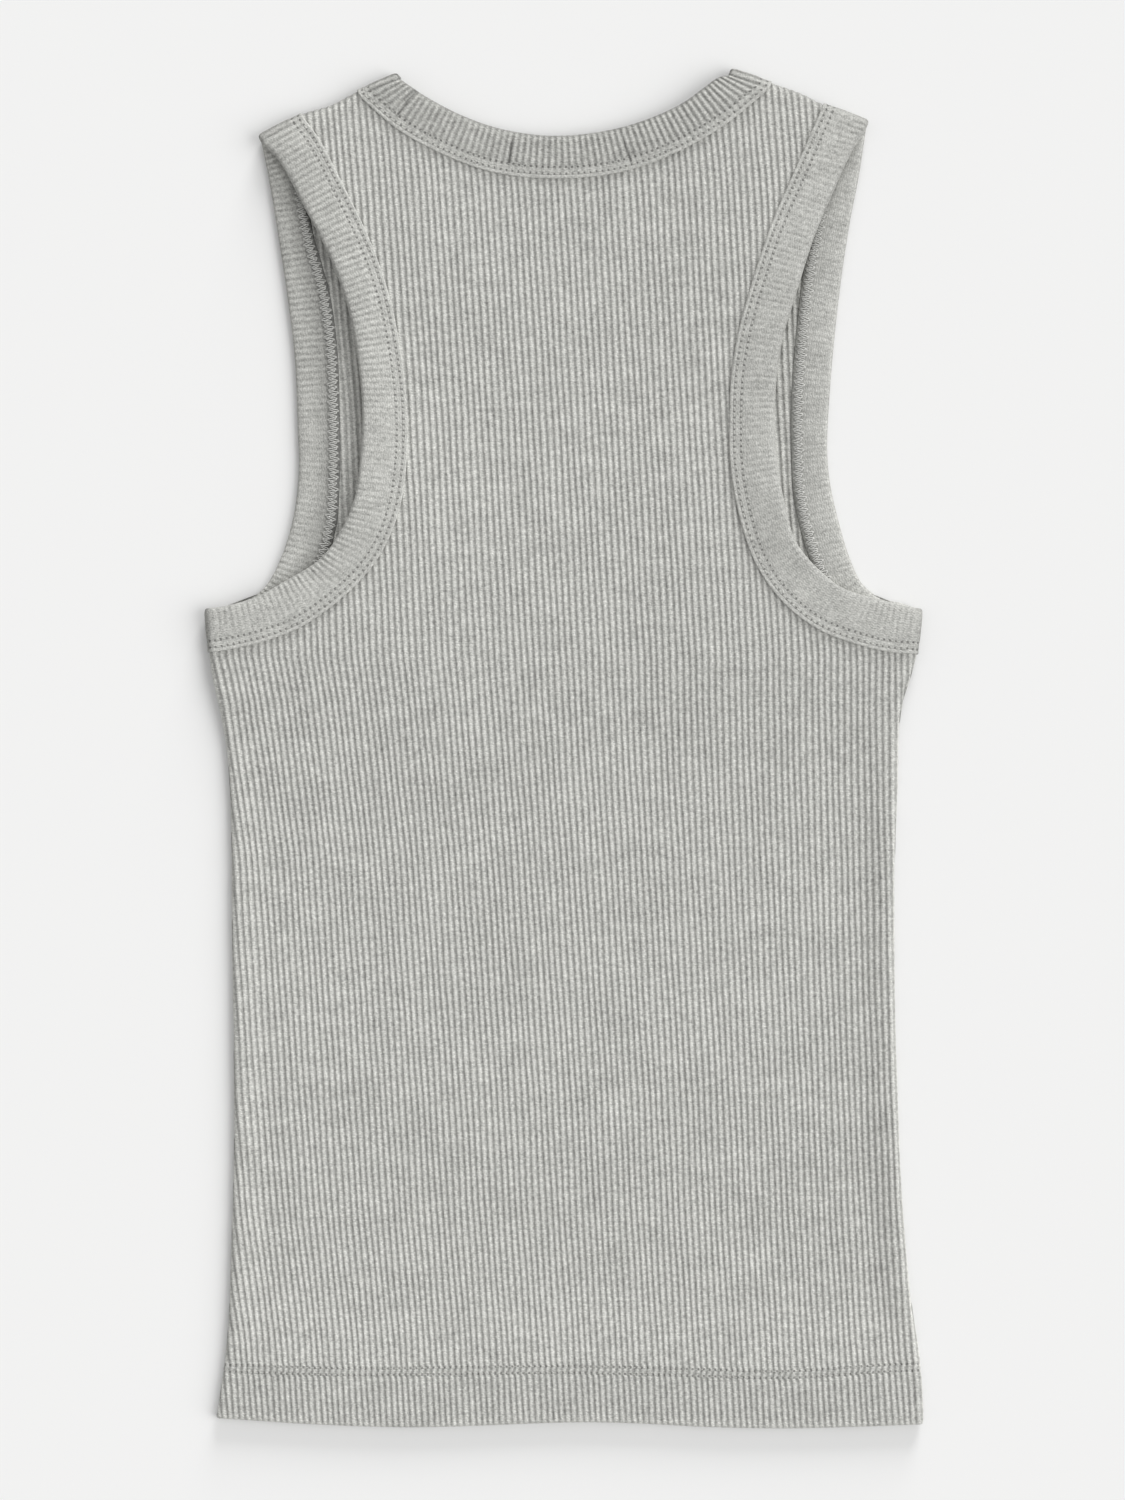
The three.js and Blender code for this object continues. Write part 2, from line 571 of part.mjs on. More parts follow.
// Columns from side to side for a plain sheet: offsets are those at each side fold, and spans says
// how many equal parts lie between them
function plainColumns(offsets, spans) {
  const columns = offsets.map((offset) => (y) => sideX('left', y) + offset);
  for (let i = 1; i < spans; i += 1) {
    columns.push((y) => {
      const left = sideX('left', y) + offsets[offsets.length - 1];
      const right = sideX('right', y) - offsets[offsets.length - 1];
      return THREE.MathUtils.lerp(left, right, i / spans);
    });
  }
  return columns.concat([...offsets].reverse().map((offset) => (y) => sideX('right', y) - offset));
}

// A column's points, one for each row of heights; height gives z from the place and the row
function columnPoints(xAt, rows, height) {
  return rows.map((row) => {
    const nearY = row.y ?? hemY(0) + row.hem;
    const x = xAt(nearY);
    const y = rowY(row, x);
    return [x, y, height(x, y, row)];
  });
}

function lowered(columns, z) {
  return columns.map((column) => column.map(([x, y]) => [x, y, z]));
}

function backPanel() {
  const halfPitch = RIB_PITCH / 2;
  const count = Math.round((LAST_GROOVE_X - FIRST_GROOVE_X) / halfPitch);
  const outerRows = LEVELS.filter((row) => !row.insideOnly);
  const ribbed = [];
  for (let k = 0; k <= count; k += 1) {
    const countX = FIRST_GROOVE_X + k * halfPitch;
    const rib = k % 2 === 1 ? RIB_HEIGHT : 0;
    const xAt = (y) => countX + ribDrift(countX, y);
    ribbed.push(columnPoints(xAt, outerRows, (x, y) => levelAt(x, y).top + rib));
  }
  const inside = plainColumns(BACK_INSIDE_OFFSETS, BACK_INSIDE_SPANS).map((xAt) => {
    const column = columnPoints(xAt, LEVELS, (x, y, row) => levelAt(x, y).top - row.wall);
    const [x, y, z] = column[column.length - 1];
    return [...column, [x, y - INSIDE_OVERRUN, z]];
  });
  const ribbedSlab = toManifold(slabBetween(ribbed, lowered(ribbed, -CUT_DEPTH / 2)));
  const insideBlock = toManifold(slabBetween(inside, lowered(inside, -CUT_DEPTH / 2 - 1)));
  let panel = ribbedSlab.subtract(insideBlock).intersect(prism(panelPlan('back')));
  for (const roll of foldRolls('back')) panel = panel.add(roll);
  return manifoldToGeometry(panel);
}

function frontPanel() {
  const columns = plainColumns(FRONT_OFFSETS, FRONT_SPANS);
  const bottom = columns.map((xAt) => columnPoints(xAt, LEVELS, (x, y, row) => row.under));
  const top = columns.map((xAt) => columnPoints(xAt, LEVELS, (x, y, row) => row.under + row.wall));
  let panel = toManifold(slabBetween(top, bottom)).intersect(prism(panelPlan('front')));
  for (const roll of foldRolls('front')) panel = panel.add(roll);
  return manifoldToGeometry(panel);
}

function stretchLength(stretch) {
  const middle = ({ from, across, width }) => from.clone().addScaledVector(across, width / 2);
  let length = 0;
  for (let i = 1; i <= LENGTH_STEPS; i += 1) {
    const start = middle(stretch((i - 1) / LENGTH_STEPS));
    length += start.distanceTo(middle(stretch(i / LENGTH_STEPS)));
  }
  return length;
}

// Stations round a binding: along the back, round a fold, along the front and round a fold again
function bindingStations({ back, front }) {
  const stations = [];
  let travelled = 0;
  const add = (kind, place, step, details) => {
    travelled += step;
    const { from: start, across, width } = place;
    stations.push({ kind, start, across, width, travelled, coarse: true, rib: 0, ...details });
  };
  const foldAt = (place, from, to) => {
    const out = new THREE.Vector3(-place.across.y, place.across.x, 0);
    if (out.dot(place.from) < 0) out.negate();
    const steps = Math.round(Math.PI / FOLD_STEP_ANGLE);
    for (let i = 1; i < steps; i += 1) {
      const angle = THREE.MathUtils.lerp(from, to, i / steps);
      add('fold', place, BINDING_FOLD_STEP, { out, angle, swell: RIB_HEIGHT * (1 - angle / Math.PI) });
    }
  };
  const ribSteps = 2 * Math.round(stretchLength(back) / RIB_PITCH);
  const skip = Math.round(BINDING_STEP / (RIB_PITCH / 2));
  for (let i = 0; i <= ribSteps; i += 1) {
    const rib = i % 2 === 1 ? RIB_HEIGHT : 0;
    const coarse = i % skip === 0 || i === ribSteps;
    add('back', back(i / ribSteps), RIB_PITCH / 2, { coarse, rib, swell: RIB_HEIGHT });
  }
  foldAt(back(1), 0, Math.PI);
  const frontSteps = Math.round(stretchLength(front) / BINDING_STEP);
  for (let i = 0; i <= frontSteps; i += 1) {
    add('front', front(i / frontSteps), BINDING_STEP, { swell: 0 });
  }
  foldAt(back(0), Math.PI, 0);
  return stations;
}

function bindingPoint(station, w, n) {
  const base = station.start.clone().addScaledVector(station.across, w);
  const { top, under } = levelAt(base.x, base.y);
  const backMiddle = top - PANEL_WALL / 2;
  const frontMiddle = under + PANEL_WALL / 2;
  if (station.kind === 'back') return [base.x, base.y, backMiddle + n];
  if (station.kind === 'front') return [base.x, base.y, frontMiddle - n];
  const centre = (backMiddle + frontMiddle) / 2;
  const radius = (backMiddle - frontMiddle) / 2 + n;
  base.addScaledVector(station.out, radius * Math.sin(station.angle));
  return [base.x, base.y, centre + radius * Math.cos(station.angle)];
}

// The U section's corners, in order round it. fine rails carry the ribs, and swell is the share of
// the panel's ribs that lifts a rail where it lies on them.
const BINDING_RAILS = [
  { fine: true, swell: 1, w: (width) => width, n: BINDING_OUTSIDE },
  { fine: true, swell: 1, w: () => FLAT_INSET, n: BINDING_OUTSIDE },
  { fine: false, swell: FOLD_SWELL, w: () => FOLD_INSET, n: FOLD_HEIGHT },
  { fine: false, swell: 0, w: () => 0, n: 0 },
  { fine: false, swell: 0, w: () => FOLD_INSET, n: -FOLD_HEIGHT },
  { fine: false, swell: 0, w: () => FLAT_INSET, n: -BINDING_OUTSIDE },
  { fine: false, swell: 0, w: (width) => width - BINDING_TUCK, n: -BINDING_OUTSIDE },
  { fine: false, swell: 0, w: (width) => width - BINDING_TUCK, n: -BINDING_INSIDE },
  { fine: false, swell: 0, w: () => INNER_FOLD_INSET, n: -BINDING_INSIDE },
  { fine: false, swell: 1, w: () => INNER_FOLD_INSET, n: BINDING_INSIDE },
  { fine: false, swell: 1, w: (width) => width, n: BINDING_INSIDE },
];

// A ring's skin between two rails, each a closed loop of points with their place along it
function zipRails(a, b, triangles) {
  let [i, j] = [0, 0];
  const place = (rail, index) => (index < rail.length ? rail[index].travelled : Infinity);
  while (i < a.length || j < b.length) {
    const stepA = place(a, i + 1) <= place(b, j + 1) ? i < a.length : j >= b.length;
    const [atA, atB] = [a[i % a.length].index, b[j % b.length].index];
    if (stepA) {
      i += 1;
      triangles.push([atA, atB, a[i % a.length].index]);
    } else {
      j += 1;
      triangles.push([atA, atB, b[j % b.length].index]);
    }
  }
}

function bindingRing(binding) {
  const stations = bindingStations(binding);
  const points = [];
  const rails = BINDING_RAILS.map(({ fine, swell, w, n }) =>
    stations.filter(({ coarse }) => fine || coarse).map((station) => {
      const height = n + swell * station.swell + (fine ? station.rib : 0);
      const index = points.push(bindingPoint(station, w(station.width), height)) - 1;
      return { index, travelled: station.travelled };
    }),
  );
  const triangles = [];
  rails.forEach((rail, i) => zipRails(rail, rails[(i + 1) % rails.length], triangles));
  return toGeometry(makeMesh(points, triangles));
}

function clothMaterial(name, color) {
  return new THREE.MeshStandardMaterial({ name, color, roughness: 0.95, metalness: 0 });
}

const pieces = [
  { name: 'back_panel', geometry: backPanel(), color: 0xb6b6b1 },
  { name: 'front_panel', geometry: frontPanel(), color: 0xaeaea9 },
  { name: 'neck_binding', geometry: bindingRing(bindings.neck), color: 0xbababa },
  { name: 'left_armhole_binding', geometry: bindingRing(bindings.left), color: 0xbababa },
  { name: 'right_armhole_binding', geometry: bindingRing(bindings.right), color: 0xbababa },
];

const garment = new THREE.Group();
garment.name = 'tank_top';
for (const { name, geometry, color } of pieces) {
  const mesh = new THREE.Mesh(geometry, clothMaterial(`${name}_knit`, color));
  mesh.name = name;
  garment.add(mesh);
}

// The origin goes under the middle of the whole garment
const box = new THREE.Box3().setFromObject(garment);
const middle = box.getCenter(new THREE.Vector3());
garment.position.set(-middle.x, -middle.y, -box.min.z);

export default garment;
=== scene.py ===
import math
from collections import namedtuple

import bmesh
import bpy
import numpy as np
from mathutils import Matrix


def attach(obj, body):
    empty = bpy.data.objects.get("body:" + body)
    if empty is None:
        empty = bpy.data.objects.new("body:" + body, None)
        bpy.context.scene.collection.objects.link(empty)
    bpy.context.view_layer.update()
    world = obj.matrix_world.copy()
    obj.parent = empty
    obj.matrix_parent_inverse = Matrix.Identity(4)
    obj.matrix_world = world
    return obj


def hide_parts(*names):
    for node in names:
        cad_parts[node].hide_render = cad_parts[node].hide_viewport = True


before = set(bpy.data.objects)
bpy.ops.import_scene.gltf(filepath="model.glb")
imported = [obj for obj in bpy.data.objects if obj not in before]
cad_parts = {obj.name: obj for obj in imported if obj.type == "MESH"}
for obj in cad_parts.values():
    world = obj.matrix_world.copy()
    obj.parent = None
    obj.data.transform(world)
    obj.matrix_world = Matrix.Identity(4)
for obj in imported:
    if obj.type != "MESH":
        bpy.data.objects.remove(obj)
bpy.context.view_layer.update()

MM = 0.001
PLAN_SHIFT = np.array([-0.330, 0.075, 0.0])  # from the plan's coordinates to the CAD frame
WELD = 2e-6  # points nearer than this, in metres, become one
UV_UNIT = 10  # millimetres to a unit of the uv layers, across the sewing and along the ribs

# Cloth
PANEL_WALL = 1.0
BINDING_WALL = 1.0
HEM_WALL = 2.1
LAYER_GAP = 0.3
RIB_PITCH = 3.07
RIB_HEIGHT = 0.45
INWARD_RIB = 0.35  # depth of the grooves where the crests keep the solid's face
FIRST_GROOVE_X = -206.55  # groove beyond the left side, on the row where the ribs are counted
LAST_GROOVE_X = 177.2
LOOP_HEIGHT = 1.15  # of one stitch of the knit
RIB_FRACTIONS = (0.0, 0.13, 0.36, 0.64, 0.87)  # places of a rib's columns, from groove to groove
RIB_SHAPE = (0.0, 0.5, 0.96, 0.96, 0.5)  # share of the rib's height at each

# Bindings: a U section over the raw edge, n measured out from the middle of the panel's cloth
BINDING_INSIDE = PANEL_WALL / 2 + LAYER_GAP
BINDING_OUTSIDE = BINDING_INSIDE + BINDING_WALL
PANEL_INSET = 1.6  # from the binding's folded edge to the panel's raw edge
SEAM_ROWS = (2.1, 5.3)  # needle rows, measured in from the stitched edge
STITCH_LENGTH = 2.7

# Heights of the cloth, from neck to hem: the back's outer face near the centre line, out towards the
# armholes and at the side folds, the front's outer face, and the wall
Level = namedtuple("Level", "y above_hem middle flank edge under wall")
LEVELS = [
    Level(345, None, 4.95, 6.2, 6.2, 1.3, PANEL_WALL),
    Level(249, None, 4.95, 6.2, 6.2, 1.3, PANEL_WALL),
    Level(172, None, 4.95, 4.95, 4.95, 1.3, PANEL_WALL),
    Level(100, None, 4.95, 6.2, 6.2, 1.3, PANEL_WALL),
    Level(42, None, 4.5, 6.2, 6.2, 1.3, PANEL_WALL),
    Level(8, None, 3.4, 4.2, 4.5, 0, PANEL_WALL),
    Level(-30, None, 2.6, 2.6, 4.5, 0, PANEL_WALL),
    Level(-150, None, 2.6, 2.6, 4.5, 0, PANEL_WALL),
    Level(None, 60, 2.6, 2.6, 4.5, 0, PANEL_WALL),
    Level(None, 30, 4.3, 4.3, 4.5, 0, PANEL_WALL),
    Level(None, 28.5, 4.5, 4.5, 4.5, 0, HEM_WALL),
    Level(None, 1.2, 4.5, 4.5, 4.5, 0, HEM_WALL),
]
MIDDLE_REACH = 30
FLANK_START = 70
SIDE_LOFT_WIDTH = 14

# Sideways drift of a rib from its place on the counting row: y, then at the left, middle and right
RIB_DRIFT_X = (-162, -1, 152)
RIB_DRIFT = [
    (345, -26, -22, -18),
    (271, -20, -14.9, -12),
    (160, -9.6, -7.7, -6.7),
    (44, -4.3, -1, 0),
    (25, 0, 0, 0),
    (-13, 5.8, 2.4, 0.5),
    (-52, 11, 5.3, 1.4),
    (-109, 14.9, 9.1, 2.4),
    (-167, 18.7, 13, 4.3),
    (-224, 23.5, 15.8, 6.7),
    (-282, 30.7, 19.7, 10.6),
    (-330, 34.2, 22.4, 14.3),
]

# Centre lines of the folds, x and y
SIDE_LEFT = [
    (-167.9, 67.4), (-166.5, 46.3), (-165, 32.9), (-160.7, 13.7), (-158.3, -0.7), (-156.4, -34.3),
    (-155.9, -87.1), (-154.9, -183.1), (-156.4, -245.5), (-158.3, -283.9), (-163.6, -322.3),
    (-164.2, -327),
]
SIDE_RIGHT = [
    (168.6, 67.4), (166.7, 45.4), (164.3, 35.3), (160.4, 23.3), (158.5, 8.9), (158, -15.1), (156.6, -53.5),
    (156.6, -120.7), (158, -168.7), (159.5, -207.1), (163.8, -259.9), (168.6, -293.5), (170, -312.7),
    (170.2, -328),
]
SHOULDER_LEFT = [(-144.4, 290.2), (-123.7, 301.2), (-110.3, 305.5), (-97.3, 312.2), (-77.7, 320.4)]
SHOULDER_RIGHT = [(79.3, 322.3), (99, 316.1), (112.9, 311.3), (123.9, 306), (145.5, 297.4)]
HEM = [
    (-215, -319.4), (-166, -320.9), (-118.9, -323.8), (-70.9, -325.2), (5.9, -322.8), (34.7, -323.3),
    (73.1, -325.2), (111.5, -325.7), (172.4, -323.8), (200, -322.8),
]
HEM_STITCHES = [
    (-215, -295), (-159.7, -295.4), (-102, -296.9), (3.5, -295.9), (65.9, -297.4), (106.7, -298.3),
    (159.5, -295), (200, -294.6),
]

# Bindings in plan: the folded edge's x and y, then the stitched edge's
LEFT_ARMHOLE_BACK = [
    (-144.4, 290.2, -123.7, 301.2), (-135.7, 281, -117, 292.1), (-125.2, 261.8, -106.5, 272.4),
    (-110.8, 233.5, -91.6, 241.2), (-102.1, 208.1, -82.5, 214.3), (-97.3, 179.3, -76.2, 180.7),
    (-95.9, 157.7, -74.3, 155.8), (-96.9, 138.5, -74.8, 136.6), (-99.7, 119.3, -77.7, 116.4),
    (-106.5, 103.4, -85.3, 96.2), (-116.5, 90.5, -99.3, 78), (-133.3, 79.9, -123.3, 59.3),
    (-147.7, 72.2, -142, 51.6), (-160.7, 68.4, -157.8, 47.8), (-167.9, 67.4, -166.5, 46.3),
]
LEFT_ARMHOLE_FRONT = [
    (-167.9, 67.4, -166.5, 46.3), (-160.7, 68.4, -156.9, 47.8), (-151.1, 71.3, -141.5, 55.9),
    (-142.5, 78, -127.1, 69.4), (-134.8, 92.4, -114.1, 86.6), (-129, 112.1, -107.9, 108.2),
    (-126.6, 133.7, -106.5, 131.8), (-127.1, 152.9, -106.5, 152.9), (-128.5, 186.5, -107.4, 188.4),
    (-131.9, 215.3, -111.3, 218.2), (-136.2, 244.1, -119.4, 247.9), (-140.5, 270.5, -123.3, 274.8),
    (-144.4, 290.2, -123.7, 301.2),
]
RIGHT_ARMHOLE_BACK = [
    (145.5, 297.4, 123.9, 306), (137.9, 284.9, 117.2, 290.6), (129.2, 265.7, 109.5, 272.9),
    (120.1, 244.1, 99.9, 250.8), (111, 215.3, 89.9, 220.6), (105.2, 196.1, 84.1, 199.4),
    (102.3, 176.9, 80.7, 178.3), (101.4, 157.7, 79.8, 156.7), (102.3, 138.5, 80.3, 135.6),
    (105.7, 119.3, 84.1, 112.6), (111.5, 99.1, 92.3, 88.6), (122.5, 85.7, 105.2, 70.3),
    (134.5, 76.6, 122.5, 56.9), (152.3, 71.3, 146.5, 48.2), (162.8, 68.4, 159.9, 45.8),
    (168.6, 67.4, 166.7, 45.4),
]
RIGHT_ARMHOLE_FRONT = [
    (168.6, 67.4, 166.7, 45.4), (161.9, 69.8, 157.1, 47.8), (152.3, 72.2, 143.6, 53),
    (143.6, 79, 131.1, 65.5), (137.9, 90.5, 120.1, 85.2), (133.1, 105.8, 114.3, 101.5),
    (128.3, 126.5, 110, 123.1), (126.8, 143.3, 109.1, 142.3), (127.8, 167.3, 109.1, 168.2),
    (130.2, 196.1, 111.5, 199.9), (133.5, 224.9, 114.8, 228.7), (137.9, 253.7, 120.6, 259),
    (141.7, 272.9, 122.5, 278.6), (145.5, 297.4, 123.9, 306),
]
NECK_BACK = [
    (-77.7, 320.4, -97.3, 312.2), (-72.9, 317, -88.7, 304.1), (-65.7, 312.2, -77.2, 295),
    (-49.3, 303.6, -57.5, 284.4), (-30.1, 296.9, -34.9, 276.2), (-6.1, 293.5, -6.6, 272.9),
    (17.9, 295.4, 22.2, 274.8), (37.1, 300.2, 44.3, 281), (56.3, 308.4, 66.8, 291.6),
    (67.3, 316.1, 80.7, 300.7), (74, 320.9, 91.8, 309.8), (79.3, 322.3, 99, 316.1),
]
NECK_FRONT = [
    (79.3, 322.3, 99, 316.1), (76.4, 296.9, 96.6, 292.1), (65.9, 265.7, 84.6, 256.6),
    (44.3, 236.9, 56.3, 220.1), (22.7, 222.5, 29.4, 202.3), (0.1, 217.7, 0.1, 196.6),
    (-22.5, 222.5, -29.2, 202.3), (-44.5, 236.9, -56.5, 220.1), (-64.7, 265.7, -83.4, 256.6),
    (-74.8, 296.9, -94.9, 291.6), (-77.7, 320.4, -97.3, 312.2),
]

# Seams: how far round each fold the back panel reaches
SIDE_SEAM_ANGLE = math.radians(90)
SHOULDER_SEAM_ANGLE = math.radians(150)


def smooth_rise(value, low, high):
    t = np.clip((value - low) / (high - low), 0, 1)
    return t * t * (3 - 2 * t)


def bell(distance, width):
    return np.exp(-(distance / width) ** 2)


def curve_at(rows, t):
    """Points at t, from 0 to 1, of the centripetal Catmull-Rom curve through rows."""
    rows = np.asarray(rows, float)
    padded = np.vstack([2 * rows[0] - rows[1], rows, 2 * rows[-1] - rows[-2]])
    place = np.clip(t, 0, 1) * (len(rows) - 1)
    span = np.minimum(place.astype(int), len(rows) - 2)
    w = (place - span)[..., None]
    p0, p1, p2, p3 = (padded[span + k] for k in range(4))

    def pace(a, b):
        return np.sqrt(np.linalg.norm(b - a, axis=-1, keepdims=True))

    d0, d1, d2 = pace(p0, p1), pace(p1, p2), pace(p2, p3)
    t1 = ((p1 - p0) / d0 - (p2 - p0) / (d0 + d1) + (p2 - p1) / d1) * d1
    t2 = ((p2 - p1) / d1 - (p3 - p1) / (d1 + d2) + (p3 - p2) / d2) * d1
    return p1 + t1 * w + (3 * (p2 - p1) - 2 * t1 - t2) * w**2 + (2 * (p1 - p2) + t1 + t2) * w**3


LINE_STEPS = np.linspace(0, 1, 91)  # along each fold line
side_lines = {-1: curve_at(SIDE_LEFT, LINE_STEPS), 1: curve_at(SIDE_RIGHT, LINE_STEPS)}
hem_line = curve_at(HEM, LINE_STEPS)
hem_stitch_line = curve_at(HEM_STITCHES, LINE_STEPS)
shoulder_lines = {-1: curve_at(SHOULDER_LEFT, LINE_STEPS), 1: curve_at(SHOULDER_RIGHT, LINE_STEPS)}


def side_x(side, y):
    line = side_lines[side][::-1]
    return np.interp(y, line[:, 1], line[:, 0])


def hem_y(x):
    return np.interp(x, hem_line[:, 0], hem_line[:, 1])


def hem_stitch_y(x):
    return np.interp(x, hem_stitch_line[:, 0], hem_stitch_line[:, 1])


# Waves in plan: height, then the length along X and along Y for each radian, and the start
Wave = namedtuple("Wave", "height along_x along_y start")
CLOTH_WAVES = [Wave(0.10, 31, 47, 0), Wave(0.07, 17, -29, 1.3)]  # of the cloth's height, as it lies
CLOTH_WAVES_FADE_Y = (-300, -255)  # none below, towards the hem, and all above
RIB_WAVES = [Wave(0.16, 3.1, 23, 0), Wave(0.10, -4.3, 9.7, 0)]  # of the ribs, sideways


def wave_sum(waves, x, y):
    return sum(wave.height * np.sin(x / wave.along_x + y / wave.along_y + wave.start) for wave in waves)


ARMHOLE_LIFT = 2.6  # how far the back's armhole edges stand off the front
ARMHOLE_LIFT_REACH = 17
ARMHOLE_LIFT_START_Y = (76, 112)  # it rises over the first stretch, and sinks again over the second
ARMHOLE_LIFT_END_Y = (225, 272)
armhole_edges = {
    -1: np.array(LEFT_ARMHOLE_BACK, float)[::-1, :2],
    1: np.array(RIGHT_ARMHOLE_BACK, float)[::-1, :2],
}


def armhole_lift(x, y):
    lift = 0.0 * y
    for side, line in armhole_edges.items():
        inward = np.maximum((np.interp(y, line[:, 1], line[:, 0]) - x) * side, 0)
        lift = lift + bell(inward, ARMHOLE_LIFT_REACH) * (x * side > 0)
    started = smooth_rise(y, *ARMHOLE_LIFT_START_Y)
    ended = smooth_rise(y, *ARMHOLE_LIFT_END_Y)
    return ARMHOLE_LIFT * lift * started * (1 - ended)


def level(x, y):
    """Heights of the cloth at plan points: top, under, wall and edge."""
    hem = hem_y(x)
    row_y = [hem + row.above_hem if row.y is None else row.y + 0 * hem for row in LEVELS]
    found = {}
    for name in ("middle", "flank", "edge", "under", "wall"):
        values = [getattr(row, name) for row in LEVELS]
        height = values[-1] + 0.0 * y
        for i in range(len(LEVELS) - 1):
            share = np.clip((y - row_y[i + 1]) / (row_y[i] - row_y[i + 1]), 0, 1)
            height = height + (values[i] - values[i + 1]) * share
        found[name] = height
    from_side = np.minimum(x - side_x(-1, y), side_x(1, y) - x)
    to_flank = smooth_rise(np.abs(x), MIDDLE_REACH, FLANK_START)
    to_edge = 1 - smooth_rise(from_side, 0, SIDE_LOFT_WIDTH)
    top = found["middle"] + (found["flank"] - found["middle"]) * to_flank
    top = top + (found["edge"] - found["flank"]) * to_edge
    unevenness = wave_sum(CLOTH_WAVES, x, y) * smooth_rise(y, *CLOTH_WAVES_FADE_Y)
    top = top + unevenness * (1 - to_edge) + armhole_lift(x, y)
    return top, found["under"], found["wall"], found["edge"]


def rib_x(count_x, y):
    """Where the rib line of the counting row at count_x lies at y."""
    table = np.array(RIB_DRIFT, float)[::-1]
    left, middle, right = (np.interp(y, table[:, 0], table[:, k]) for k in (1, 2, 3))
    xl, xm, xr = RIB_DRIFT_X
    to_left = (count_x - xm) * (count_x - xr) / ((xl - xm) * (xl - xr))
    to_middle = (count_x - xl) * (count_x - xr) / ((xm - xl) * (xm - xr))
    to_right = (count_x - xl) * (count_x - xm) / ((xr - xl) * (xr - xm))
    wander = wave_sum(RIB_WAVES, count_x, y)
    return count_x + left * to_left + middle * to_middle + right * to_right + wander


def to_frame(points):
    """Plan millimetres to the CAD frame's metres."""
    return (np.asarray(points) + PLAN_SHIFT) * MM


def add_mesh(name, points, faces, layers, values, material):
    """A smooth welded mesh from plan points, with named uv layers and named values at its points."""
    mesh = bpy.data.meshes.new(name)
    mesh.from_pydata(to_frame(points).tolist(), [], [list(face) for face in faces])
    loops = np.empty(len(mesh.loops), int)
    mesh.loops.foreach_get("vertex_index", loops)
    for layer_name, uv in layers.items():
        layer = mesh.uv_layers.new(name=layer_name)
        layer.data.foreach_set("uv", np.asarray(uv, float)[loops].ravel())
    for value_name, value in values.items():
        attribute = mesh.attributes.new(value_name, "FLOAT", "POINT")
        attribute.data.foreach_set("value", np.asarray(value, float).ravel())
    form = bmesh.new()
    form.from_mesh(mesh)
    bmesh.ops.remove_doubles(form, verts=form.verts, dist=WELD)
    loose = [vert for vert in form.verts if not vert.link_faces]
    bmesh.ops.delete(form, geom=loose, context="VERTS")
    if form.calc_volume(signed=True) < 0:
        bmesh.ops.reverse_faces(form, faces=form.faces)
    form.to_mesh(mesh)
    form.free()
    mesh.polygons.foreach_set("use_smooth", np.ones(len(mesh.polygons), bool))
    mesh.materials.append(material)
    piece = bpy.data.objects.new(name, mesh)
    bpy.context.scene.collection.objects.link(piece)
    return piece


# Stretches of binding


def stretch_at(rows, t):
    """The folded edge's point, the direction across and the width of a binding at t."""
    rows = np.asarray(rows, float)
    edge = curve_at(rows[:, :2], t)
    seam = curve_at(rows[:, 2:], t)
    width = np.linalg.norm(seam - edge, axis=-1)
    return edge, (seam - edge) / width[..., None], width


BINDINGS = {
    "neck": (NECK_BACK, NECK_FRONT),
    "left": (LEFT_ARMHOLE_BACK, LEFT_ARMHOLE_FRONT),
    "right": (RIGHT_ARMHOLE_BACK, RIGHT_ARMHOLE_FRONT),
}


RAW_EDGE_STEPS = np.linspace(0, 1, 121)


def raw_edge(binding, face):
    """The panel's raw edge inside a binding, as plan points."""
    back, front = BINDINGS[binding]
    edge, across, _ = stretch_at(back if face == "back" else front, RAW_EDGE_STEPS)
    return edge + across * PANEL_INSET


# Panels


def rib_columns():
    """Count positions, rib numbers and height shares of the columns that carry the ribs."""
    count = round((LAST_GROOVE_X - FIRST_GROOVE_X) / RIB_PITCH)
    numbers = np.array([k + f for k in range(count) for f in RIB_FRACTIONS] + [float(count)])
    shares = np.array(list(RIB_SHAPE) * count + [0.0])
    return FIRST_GROOVE_X + numbers * RIB_PITCH, numbers, shares


HEM_ZONE = 27.3  # nominal height of the hem's upper needle row
HEM_SCALLOP = 0.12  # how far a rib stands out at the hem's fold
HEM_JOG = 0.5  # how far a rib steps aside at each needle row
HEM_FADE = 3.0  # the grooves' painted shade is weaker this near the hem's fold
HEM_ROW_WIDTH = 0.9  # a needle row draws the cloth in this near to it
HEM_ROW_FLATTEN = 0.2  # share of the ribs' height lost there
HEM_ROW_SINK = 0.12  # and how far the cloth sinks

# Rows of points across a panel: heights in the hem, then above its stitches up to FADE_TOP_Y, then
# even steps over the body and over the shoulders
HEM_STEPS = (
    0, 0.08, 0.3, 0.65, 1.05, 2, 5, 9, 13, 17, 20.5, 22.4, 23.2, 23.9, 24.6, 25.6, 26.6, HEM_ZONE,
)
FADE_TOP_Y = -250
FADE_STEPS = (0.7, 1.6, 3.5, 7, 12, 18, 25, 32, 39)
BODY_STEP = 10.5
SHOULDER_START_Y = 286
SHOULDER_STEP = 1.5
SHOULDER_TOP_Y = 334


def row_heights(x):
    """y of every row at the plan positions x, an array with one row of places for each."""
    hem = hem_y(x)
    stitched = hem_stitch_y(x)
    rows = [hem + (stitched - hem) * step / HEM_ZONE for step in HEM_STEPS]
    fade = FADE_TOP_Y - stitched
    rows += [stitched + fade * step / (FADE_STEPS[-1] + BODY_STEP) for step in FADE_STEPS]
    rows += [y + 0 * x for y in np.arange(FADE_TOP_Y, SHOULDER_START_Y, BODY_STEP)]
    rows += [y + 0 * x for y in np.arange(SHOULDER_START_Y, SHOULDER_TOP_Y, SHOULDER_STEP)]
    return rows


